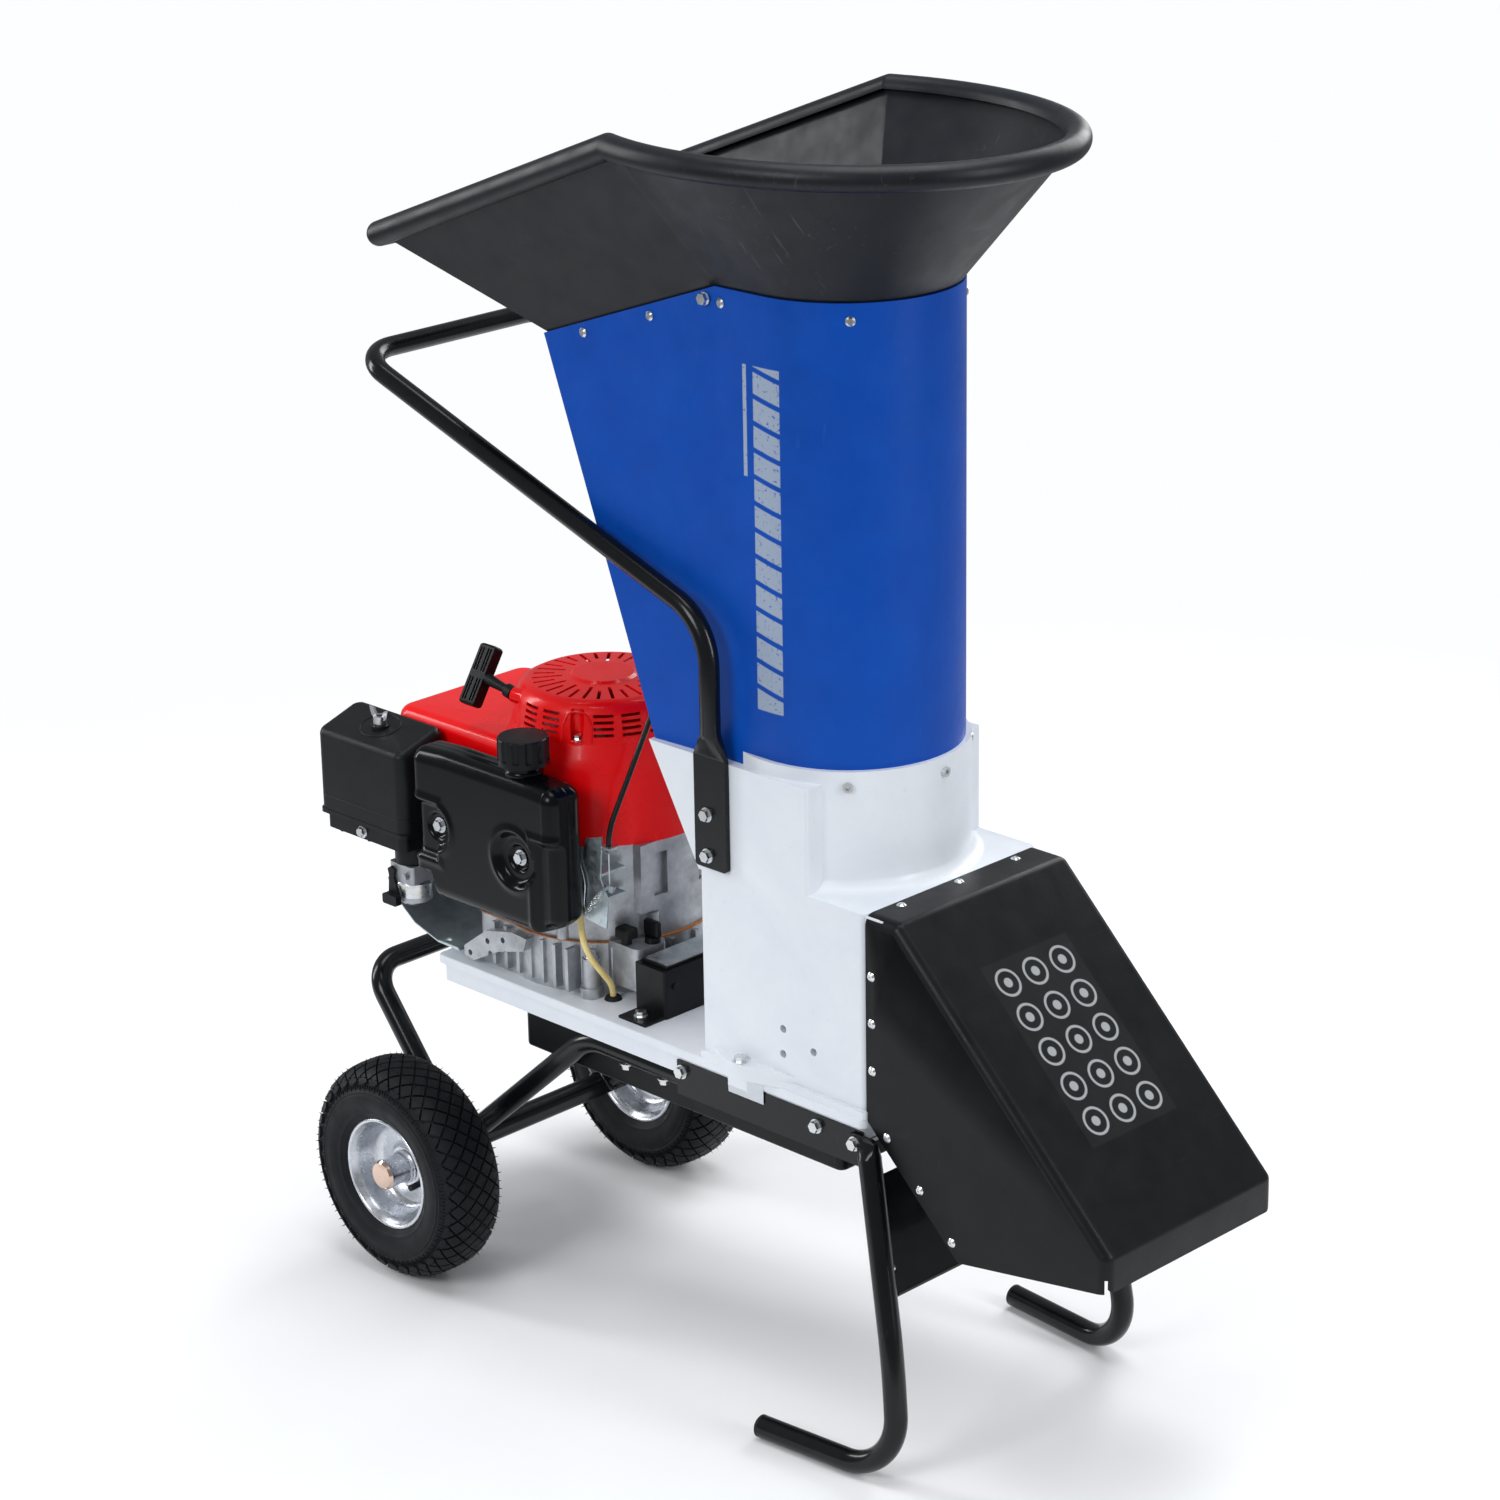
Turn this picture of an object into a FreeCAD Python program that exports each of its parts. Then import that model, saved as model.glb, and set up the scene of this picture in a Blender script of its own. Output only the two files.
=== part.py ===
"""Petrol garden shredder: feed hopper and chute over a knife-disc housing, belt-driven from a
vertical-shaft engine on a cast deck, with a wheeled tube frame, push handle and discharge hood.

Units are millimetres. +Z is up, +X points to the discharge hood, the ground is Z = 0.
Sizes are written about the axis of the round chute front (x = 0, y = 0); every piece is moved by SHIFT_X when it is
written, so that the row's origin is the middle of the footprint."""
import FreeCAD
import Part
import math
import os

# ---- driving dimensions ---------------------------------------------------------------------
SHIFT_X = 106.0          # chute axis to the middle of the footprint

AXLE_X = -520.5          # wheel axle
AXLE_Z = 130.0
TYRE_R = 130.0           # 3.00-4 tyre
TYRE_W = 85.0
WHEEL_Y = 197.0          # wheel centre planes
AXLE_ROD_R = 10.0

DECK_TOP = 376.0
DECK_X0 = -520.0
DECK_X1 = 146.0
DECK_Y = 140.0

HOUSE_Y = 133.0          # housing half width
HOUSE_X0 = -96.0
HOUSE_X1 = 143.0
SHELF_Z = 602.0
HOUSE_TOP = 718.0
COLLAR_X = 64.0
COLLAR_R = 127.0
COLLAR_TOP = 732.0
CHAMBER_R = 110.0
PASSAGE_Y = 118.0

CHUTE_R = 121.0
CHUTE_WALL = 2.5
CREASE_X = -68.0
CHUTE_TOP = 1219.0
REAR_LOW = (-165.0, HOUSE_TOP)       # x, z of the chute's rear corner, bottom
REAR_HIGH = (-310.0, 1134.0)         # and top

RIM_Z = 1365.0
RIM_R = 13.5
RIM_CX = -24.0           # ellipse of the hopper rim
RIM_RX = 269.0
RIM_RY = 221.0
KINK_X = -128.0
KINK_Y = 204.0
LIP_X = -484.0           # rear lip of the hopper
LIP_Z = 1226.0

HOOD_Y = 133.0
HOOD_WALL = 2.5

TUBE_R = 12.5            # frame tube
HANDLE_R = 11.0          # push handle tube
WALL = 2.0

ROTOR_X = 24.0           # knife-disc axis
CRANK_X = -377.0         # crankshaft axis
ENGINE_PULLEY_R = 30.0   # pitch radii of the belt drive
ROTOR_PULLEY_R = 40.0
BELT_Z = 316.0

GAP = 0.3                # air between pieces of different bodies


# ---- small helpers ----------------------------------------------------------------------------
def V(x, y, z):
    return FreeCAD.Vector(float(x), float(y), float(z))


def box(x0, x1, y0, y1, z0, z1):
    return Part.makeBox(x1 - x0, y1 - y0, z1 - z0, V(x0, y0, z0))


def rod(r, a, b):
    a = V(*a)
    d = V(*b).sub(a)
    return Part.makeCylinder(r, d.Length, a, d)


def ring(r, bore, a, b):
    return rod(r, a, b).cut(rod(bore, a, b))


def cone(r1, r2, a, b):
    a = V(*a)
    d = V(*b).sub(a)
    return Part.makeCone(r1, r2, d.Length, a, d)


def poly(points):
    pts = [V(*p) for p in points]
    return Part.makePolygon(pts + [pts[0]])


def prism_y(points, y0, y1):
    face = Part.Face(poly([(x, y0, z) for x, z in points]))
    return face.extrude(V(0, y1 - y0, 0))


def prism_z(points, z0, z1):
    face = Part.Face(poly([(x, y, z0) for x, y in points]))
    return face.extrude(V(0, 0, z1 - z0))


def prism_x(points, x0, x1):
    face = Part.Face(poly([(x0, y, z) for y, z in points]))
    return face.extrude(V(x1 - x0, 0, 0))


def fuse(shapes):
    shapes = list(shapes)
    first = shapes[0]
    if len(shapes) == 1:
        return first
    return first.fuse(shapes[1:]).removeSplitter()


def cut(shape, tools):
    tools = list(tools)
    if not tools:
        return shape
    return shape.cut(tools)


def group(shapes):
    solids = []
    for s in shapes:
        solids.extend(s.Solids)
    return Part.makeCompound(solids)


def mirror(shape):
    return shape.mirror(V(0, 0, 0), V(0, 1, 0))


def both(shape):
    return [shape, mirror(shape)]


def round_edges(shape, radius, test):
    """Rounds the edges whose middle point and direction pass the test."""
    picked = []
    for e in shape.Edges:
        mid = e.valueAt((e.FirstParameter + e.LastParameter) / 2)
        d = e.tangentAt((e.FirstParameter + e.LastParameter) / 2)
        if test(mid, d, e):
            picked.append(e)
    if not picked:
        return shape
    return shape.makeFillet(radius, picked)


def upright(mid, d, e):
    return abs(d.z) > 0.99


def bend_path(points, radii):
    """Straight runs joined by tangent arcs; one radius for each inner point."""
    pts = [V(*p) for p in points]
    edges = []
    start = pts[0]
    for i in range(1, len(pts) - 1):
        a = pts[i - 1].sub(pts[i]).normalize()
        b = pts[i + 1].sub(pts[i]).normalize()
        half = math.acos(max(-1.0, min(1.0, a.dot(b)))) / 2
        run = radii[i - 1] / math.tan(half)
        p = pts[i].add(V(a.x * run, a.y * run, a.z * run))
        q = pts[i].add(V(b.x * run, b.y * run, b.z * run))
        m = a.add(b).normalize()
        reach = radii[i - 1] / math.sin(half) - radii[i - 1]
        mid = pts[i].add(V(m.x * reach, m.y * reach, m.z * reach))
        if p.sub(start).Length > 1e-4:
            edges.append(Part.makeLine(start, p))
        edges.append(Part.Arc(p, mid, q).toShape())
        start = q
    if pts[-1].sub(start).Length > 1e-4:
        edges.append(Part.makeLine(start, pts[-1]))
    return Part.Wire(edges)


def sweep(path, r):
    e = path.Edges[0]
    p = e.valueAt(e.FirstParameter)
    d = e.tangentAt(e.FirstParameter)
    section = Part.Wire([Part.makeCircle(r, p, d)])
    return path.makePipeShell([section], True, False)


def pipe(points, radii, r, wall):
    path = bend_path(points, radii)
    outer = sweep(path, r)
    if wall <= 0:
        return outer
    return outer.cut(sweep(path, r - wall))


def revolve_z(profile, x, y):
    """Turns an (r, z) outline about the vertical line through x, y."""
    face = Part.Face(poly([(x + r, y, z) for r, z in profile]))
    return face.revolve(V(x, y, 0), V(0, 0, 1), 360)


def revolve_y(profile, x, z):
    """Turns an (r, y) outline about the line along Y through x, z."""
    face = Part.Face(poly([(x + r, y, z) for r, y in profile]))
    return face.revolve(V(x, 0, z), V(0, 1, 0), 360)


def hexagon(af, a, b):
    """Hexagonal bar, af across the flats, from a to b."""
    a = V(*a)
    d = V(*b).sub(a)
    n = FreeCAD.Vector(d).normalize()
    side = n.cross(V(0, 0, 1)) if abs(n.z) < 0.9 else n.cross(V(1, 0, 0))
    side.normalize()
    other = n.cross(side)
    r = af / math.sqrt(3)
    pts = []
    for i in range(6):
        c = r * math.cos(math.radians(60 * i))
        s = r * math.sin(math.radians(60 * i))
        p = a.add(V(side.x * c + other.x * s, side.y * c + other.y * s, side.z * c + other.z * s))
        pts.append((p.x, p.y, p.z))
    return Part.Face(poly(pts)).extrude(d)


def flat_to_round(corners, centre, along, r):
    """Transition from a flat four-cornered section to the round mouth of a tube."""
    c = V(*centre)
    n = V(*along).normalize()
    u = V(*corners[1]).sub(V(*corners[0])).normalize()
    u = u.sub(V(n.x * u.dot(n), n.y * u.dot(n), n.z * u.dot(n))).normalize()
    w = V(*corners[2]).sub(V(*corners[1])).normalize()
    w = w.sub(V(n.x * w.dot(n), n.y * w.dot(n), n.z * w.dot(n))).normalize()

    def spot(deg):
        a = math.radians(deg)
        i = r * math.cos(a)
        j = r * math.sin(a)
        return c.add(V(u.x * i + w.x * j, u.y * i + w.y * j, u.z * i + w.z * j))

    arcs = []
    for start in (225, 315, 45, 135):
        arcs.append(Part.Arc(spot(start), spot(start + 45), spot(start + 90)).toShape())
    return Part.makeLoft([poly(corners), Part.Wire(arcs)], True, True)


def bolt(at, out, shank, washer=8.0):
    """Flange-headed hexagon bolt: seat point, outward unit direction, shank length."""
    x, y, z = at
    i, j, k = out

    def along(t):
        return (x + i * t, y + j * t, z + k * t)

    head = fuse([rod(washer, at, along(1.6)), hexagon(11.0, along(1.6), along(7.0))])
    if shank <= 0:
        return head
    return head.fuse(rod(3.9, along(-shank), at)).removeSplitter()


def rivet(at, out, shank=3.0):
    """Blind rivet with a low domed head and its dimple."""
    x, y, z = at
    i, j, k = out

    def along(t):
        return (x + i * t, y + j * t, z + k * t)

    head = cone(5.2, 3.2, at, along(1.7))
    dimple = rod(1.4, along(1.0), along(2.0))
    return head.cut(dimple).fuse(rod(2.0, along(-shank), at))


def save(name, shape):
    solids = shape.Solids
    if not solids:
        raise RuntimeError("no solid in " + name)
    out = solids[0] if len(solids) == 1 else Part.makeCompound(solids)
    out = out.copy()
    out.translate(V(SHIFT_X, 0, 0))
    out.exportStep(os.path.join("parts", name + ".step"))
    print(name, len(solids), round(shape.Volume / 1000.0, 2), "cm3", out.isValid())


# ---- frame ------------------------------------------------------------------------------------
STRUT_Y = 117.0
STRUT_Z = 332.5
RAIL_BOLTS = ((-122.0, 350.0), (78.6, 349.5), (138.0, 350.0))
STRUT_BOLTS = (-232.0, -173.0)
LEG_TOP = (158.0, 143.0, 338.0)
LEG_LOW = (222.0, 178.0, 138.0)


def side_rail():
    plate = box(-130, 144, 136, 139, 322, 362)
    foot = box(-120, 144, 112, 136, 322, 325)
    rail = fuse([plate, foot])
    return cut(rail, [rod(4.1, (x, 120, z), (x, 150, z)) for x, z in RAIL_BOLTS])


def rear_loop():
    corner = (-666, 117, 312)
    points = [(AXLE_X - 8, 117, AXLE_Z + 11), corner, (corner[0], -117, corner[2])]
    points.append((AXLE_X - 8, -117, AXLE_Z + 11))
    tube = pipe(points, [38, 38], TUBE_R, WALL)
    return tube.cut(rod(14.0, (AXLE_X, -140, AXLE_Z), (AXLE_X, 140, AXLE_Z)))


def front_strut():
    knee = (-292, STRUT_Y, STRUT_Z)
    points = [(AXLE_X + 8, STRUT_Y, AXLE_Z + 8), knee, (-136, STRUT_Y, STRUT_Z)]
    tube = pipe(points, [70], TUBE_R, WALL)
    tools = [rod(14.0, (AXLE_X, 90, AXLE_Z), (AXLE_X, 140, AXLE_Z))]
    for x in STRUT_BOLTS:
        tools.append(rod(4.1, (x, STRUT_Y, 300), (x, STRUT_Y, 350)))
    return cut(tube, tools)


def wheel_frame():
    """Welded rear frame: loop tube, two struts and the axle tube."""
    sleeve = ring(14.0, AXLE_ROD_R, (AXLE_X, -146, AXLE_Z), (AXLE_X, 146, AXLE_Z))
    return fuse([rear_loop(), sleeve] + both(front_strut()))


def axle_rod():
    body = rod(AXLE_ROD_R, (AXLE_X, -231, AXLE_Z), (AXLE_X, 231, AXLE_Z))
    clips = [ring(13, AXLE_ROD_R, (AXLE_X, s * 147, AXLE_Z), (AXLE_X, s * 150, AXLE_Z)) for s in (-1, 1)]
    return fuse([body] + clips)


def front_leg():
    """Splayed tube with a flattened, bolted upper end and a foot turned to the rear."""
    knee = (238.0, 187.0, 13.0)
    tip = (57.0, 204.0, 13.0)
    path = bend_path([LEG_TOP, LEG_LOW, knee, tip], [400.0, 62.0])
    tube = sweep(path, TUBE_R).cut(sweep(path, TUBE_R - WALL))
    d = [low - top for low, top in zip(LEG_LOW, LEG_TOP)]
    end = [(140, 139.2, 356), (166, 139.2, 356), (166, 144.2, 356), (140, 144.2, 356)]
    neck = flat_to_round(end, LEG_TOP, d, TUBE_R)
    ear = box(126, 166, 139.2, 144.2, 340, 360)
    ear = round_edges(ear, 8, lambda m, t, e: abs(t.y) > 0.99 and m.z > 359)
    leg = fuse([tube, neck, ear])
    return cut(leg, [rod(4.1, (138, 130, 350), (138, 150, 350))])


def leg_brace():
    """Sheet between the legs, following their slope, with the lower corners notched."""
    def at(t, inset):
        x = LEG_TOP[0] + (LEG_LOW[0] - LEG_TOP[0]) * t
        y = LEG_TOP[1] + (LEG_LOW[1] - LEG_TOP[1]) * t - inset
        z = LEG_TOP[2] + (LEG_LOW[2] - LEG_TOP[2]) * t
        return (x, y, z)

    right = [at(0.10, 13.5), at(0.52, 13.5), at(0.57, 22.0), at(0.60, 13.5), at(0.70, 13.5)]
    left = [(x, -y, z) for x, y, z in reversed(right)]
    face = Part.Face(poly(right + left))
    n = face.normalAt(0, 0)
    plate = face.extrude(V(n.x * 3, n.y * 3, n.z * 3))
    low = at(0.70, 13.5)
    lip = box(low[0] - 16, low[0], -low[1] + 6, low[1] - 6, low[2], low[2] + 3)
    return fuse([plate, lip])


def rubber_plugs():
    """Moulded rubber end plugs of the feet and frame tubes, the hose grommet, the sump plug."""
    d = V(57 - 238, 204 - 187, 0).normalize()
    tip = V(57, 204, 13)
    inner = tip.sub(V(d.x * 14, d.y * 14, 0))
    outer = tip.add(V(d.x * 5, d.y * 5, 0))
    shoulder = tip.add(V(d.x * 3, d.y * 3, 0))
    foot = fuse([rod(TUBE_R - WALL, tuple(inner), tuple(tip)), rod(TUBE_R, tuple(tip), tuple(shoulder)),
                 cone(TUBE_R, TUBE_R - 2.5, tuple(shoulder), tuple(outer))])
    strut = fuse([rod(10.5, (-148, 117, STRUT_Z), (-136, 117, STRUT_Z)),
                  rod(TUBE_R, (-136, 117, STRUT_Z), (-132.5, 117, STRUT_Z))])
    grommet = revolve_z([(3.6, 362), (8, 362), (8, 366), (6.5, 366), (6.5, 376), (10, 376),
                         (8.5, 379.5), (3.6, 380)], HOSE_X, HOSE_Y)
    plug = fuse([rod(6.0, (-268, -79, 428), (-268, -79, 448)),
                 round_edges(box(-279, -257, -88, -70, 448, 460), 4, lambda m, t, e: m.z > 449)])
    return group(both(foot) + both(strut) + [grommet, plug])


# ---- deck, belt guard and belt drive ------------------------------------------------------------
HOSE_X = -276.0
HOSE_Y = -94.0
ENGINE_BOLTS = ((-462, 98), (-462, -98), (-300, 104), (-300, -104))


def engine_deck():
    plate = box(DECK_X0, DECK_X1, -DECK_Y, DECK_Y, 366, DECK_TOP)
    plate = round_edges(plate, 8, upright)
    plate = round_edges(plate, 2, lambda m, d, e: abs(m.z - DECK_TOP) < 0.1)
    skirt = box(DECK_X0 + 7, DECK_X1 - 4, -136, 136, 345, 366)
    skirt = round_edges(skirt, 6, upright)
    hollow = round_edges(box(DECK_X0 + 12, DECK_X1 - 9, -131, 131, 344, 366), 4, upright)
    pads = []
    for s in (-1, 1):
        pads.append(box(-250, -152, s * 117 - 12, s * 117 + 12, 345, 366))
    ribs = [box(-478, -474, -131, 131, 356, 366), box(-110, -106, -131, 131, 356, 366)]
    deck = fuse([plate, skirt.cut(hollow)] + pads + ribs)
    tools = [rod(40, (CRANK_X, 0, 340), (CRANK_X, 0, 380)), rod(52, (ROTOR_X, 0, 340), (ROTOR_X, 0, 380))]
    tools.append(rod(6.5, (HOSE_X, HOSE_Y, 340), (HOSE_X, HOSE_Y, 380)))
    for x, y in ENGINE_BOLTS:
        tools.append(rod(4.1, (x, y, 340), (x, y, 380)))
    for x, z in RAIL_BOLTS:
        tools.append(rod(4.1, (x, -150, z), (x, 150, z)))
    for x in STRUT_BOLTS:
        for s in (-1, 1):
            tools.append(rod(4.1, (x, s * STRUT_Y, 340), (x, s * STRUT_Y, 360)))
    return cut(deck, tools)


def belt_guard():
    """Deep sheet tray round the belt drive, open at the top, with air slots in its floor."""
    outer = round_edges(box(-415, 81, -104, 104, 283, 366), 10, upright)
    outer = round_edges(outer, 4, lambda m, d, e: m.z < 284 and abs(d.z) < 0.1)
    inner = round_edges(box(-413, 79, -102, 102, 285, 364), 8, upright)
    mouth = box(-401, 67, -90, 90, 360, 370)
    tray = outer.cut([inner, mouth])
    slots = [box(x, x + 8, -40, 40, 280, 290) for x in range(-330, -60, 30)]
    for x in (-478, -110):
        slots.append(box(x, x + 4, -131, 131, 356, 366))
    return cut(tray, slots)


def belt_loop(grow, z0, z1):
    """Plan of an open belt round both pulleys, grown outward by grow."""
    r1 = ENGINE_PULLEY_R + grow
    r2 = ROTOR_PULLEY_R + grow
    span = ROTOR_X - CRANK_X
    tilt = math.asin((ROTOR_PULLEY_R - ENGINE_PULLEY_R) / span)
    nx = -math.sin(tilt)
    ny = math.cos(tilt)
    a = V(CRANK_X + nx * r1, ny * r1, z0)
    b = V(ROTOR_X + nx * r2, ny * r2, z0)
    c = V(ROTOR_X + nx * r2, -ny * r2, z0)
    d = V(CRANK_X + nx * r1, -ny * r1, z0)
    wire = Part.Wire([Part.makeLine(a, b), Part.Arc(b, V(ROTOR_X + r2, 0, z0), c).toShape(),
                      Part.makeLine(c, d), Part.Arc(d, V(CRANK_X - r1, 0, z0), a).toShape()])
    return Part.Face(wire).extrude(V(0, 0, z1 - z0))


def drive_belts():
    """Two V-belts side by side, each with a wide back and a narrow inner edge."""
    belts = []
    for z in (BELT_Z - 9, BELT_Z + 9):
        back = belt_loop(3.0, z - 6.0, z + 6.0).cut(belt_loop(0.0, z - 6.0, z + 6.0))
        root = belt_loop(0.0, z - 4.6, z + 4.6).cut(belt_loop(-4.0, z - 4.6, z + 4.6))
        belts.append(back.fuse(root).removeSplitter())
    return group(belts)


def pulley(x, pitch, bore, hub):
    """Cast two-groove pulley: each groove leaves air round its belt."""
    top = BELT_Z + 20
    low = BELT_Z - 20
    body = rod(pitch + 3.0, (x, 0, low), (x, 0, top))
    tools = []
    for z in (BELT_Z - 9, BELT_Z + 9):
        wide = 6.0 + GAP
        deep = 4.6 + GAP
        floor = pitch - 4.0 - GAP
        profile = [(pitch + 5, z - wide), (pitch + 5, z + wide), (pitch - GAP, z + wide),
                   (pitch - GAP, z + deep), (floor, z + deep), (floor, z - deep),
                   (pitch - GAP, z - deep), (pitch - GAP, z - wide)]
        tools.append(revolve_z(profile, x, 0))
    boss = rod(hub, (x, 0, low - 6), (x, 0, top))
    body = cut(fuse([body, boss]), tools)
    return body.cut(rod(bore, (x, 0, low - 10), (x, 0, top + 10)))


# ---- rotor ------------------------------------------------------------------------------------
DISC_Z0 = 492.0
DISC_Z1 = 504.0
SHAFT_R = 12.5
KNIFE_ANGLES = (20.0, 200.0)


def at_rotor(shape):
    moved = shape.copy()
    moved.translate(V(ROTOR_X, 0, 0))
    return moved


def rotor_shaft():
    shaft = rod(SHAFT_R, (0, 0, 288), (0, 0, 512))
    collar = rod(20.0, (0, 0, 470), (0, 0, DISC_Z0))
    thread = rod(9.0, (0, 0, 512), (0, 0, 530))
    tail = rod(7.0, (0, 0, 287), (0, 0, 288))
    return fuse([shaft, collar, thread, tail])


def rotor_disc():
    """Knife disc with two chip slots and four throwing paddles below."""
    disc = rod(104.0, (0, 0, DISC_Z0), (0, 0, DISC_Z1))
    tools = [rod(SHAFT_R, (0, 0, 480), (0, 0, 520))]
    for a in KNIFE_ANGLES:
        slot = box(30, 96, -16, 0, 480, 520)
        slot.rotate(V(0, 0, 0), V(0, 0, 1), a)
        tools.append(slot)
        for r in (46, 80):
            hole = rod(4.1, (r, 14, 480), (r, 14, 520))
            hole.rotate(V(0, 0, 0), V(0, 0, 1), a)
            tools.append(hole)
    paddles = []
    for a in (65, 155, 245, 335):
        p = box(26, 100, -3, 3, 428, DISC_Z0)
        p.rotate(V(0, 0, 0), V(0, 0, 1), a)
        paddles.append(p)
    return cut(fuse([disc] + paddles), tools)


def rotor_knives():
    blades = []
    for a in KNIFE_ANGLES:
        section = [(1.0, DISC_Z1), (30.0, DISC_Z1), (30.0, DISC_Z1 + 8), (9.0, DISC_Z1 + 8)]
        blade = prism_x([(y, z) for y, z in section], 30, 96)
        for r in (46, 80):
            blade = blade.cut(rod(4.1, (r, 14, 490), (r, 14, 520)))
        blade.rotate(V(0, 0, 0), V(0, 0, 1), a)
        blades.append(blade)
    return group(blades)


def knife_screws():
    screws = []
    for a in KNIFE_ANGLES:
        for r in (46, 80):
            s = fuse([rod(4.0, (r, 14, DISC_Z0 - 9), (r, 14, DISC_Z1 + 8)),
                      cone(7.0, 6.0, (r, 14, DISC_Z1 + 8), (r, 14, DISC_Z1 + 12)),
                      hexagon(13, (r, 14, DISC_Z0 - 7), (r, 14, DISC_Z0))])
            s = s.cut(hexagon(5, (r, 14, DISC_Z1 + 9.5), (r, 14, DISC_Z1 + 13)))
            s.rotate(V(0, 0, 0), V(0, 0, 1), a)
            screws.append(s)
    nut = fuse([ring(17, 9.0, (0, 0, 512), (0, 0, 515)), hexagon(27, (0, 0, 515), (0, 0, 527))])
    nut = nut.cut(rod(9.0, (0, 0, 500), (0, 0, 540)))
    return group(screws + [nut])


def rotor_bearings():
    rings = []
    for z in (348.0, 388.0):
        outer = ring(26.0, 21.5, (0, 0, z), (0, 0, z + 15))
        inner = ring(17.5, SHAFT_R + 0.06, (0, 0, z), (0, 0, z + 15))
        seal = ring(21.5, 17.5, (0, 0, z + 1), (0, 0, z + 14))
        rings.append(fuse([outer, inner, seal]))
    return group(rings)


def counter_knife():
    blade = box(16, 28, -114.5, -52, DISC_Z1 + 18, DISC_Z1 + 30)
    holes = [rod(4.0, (22, y, 500), (22, y, 560)) for y in (-100, -70)]
    return cut(blade, holes)


# ---- knife-disc housing -------------------------------------------------------------------------
SIDE_HOLES = ((25.6, 442.0), (25.1, 413.3), (69.3, 428.5))
HOOD_SIDE_RIVETS = ((151.6, 537.0), (152.0, 485.0), (152.4, 432.0))
HOOD_TOP_RIVETS = (-88.0, 0.0, 88.0)
STRAP_BOLTS = ((-75.0, 658.0), (-75.0, 612.0))


def housing_lug():
    """Bolting lug cast on the side wall, its tongue reaching down over the deck edge."""
    ledge = prism_z([(-82, -132), (46, -132), (-12, -151), (-44, -151)], 376, 392)
    tongue = prism_z([(-50, -140.3), (2, -140.3), (-12, -151), (-40, -151)], 350, 377)
    low = prism_x([(-140.0, 349), (-152, 349), (-152, 366)], -60, 10)
    return ledge.fuse(tongue).cut(low)


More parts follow.
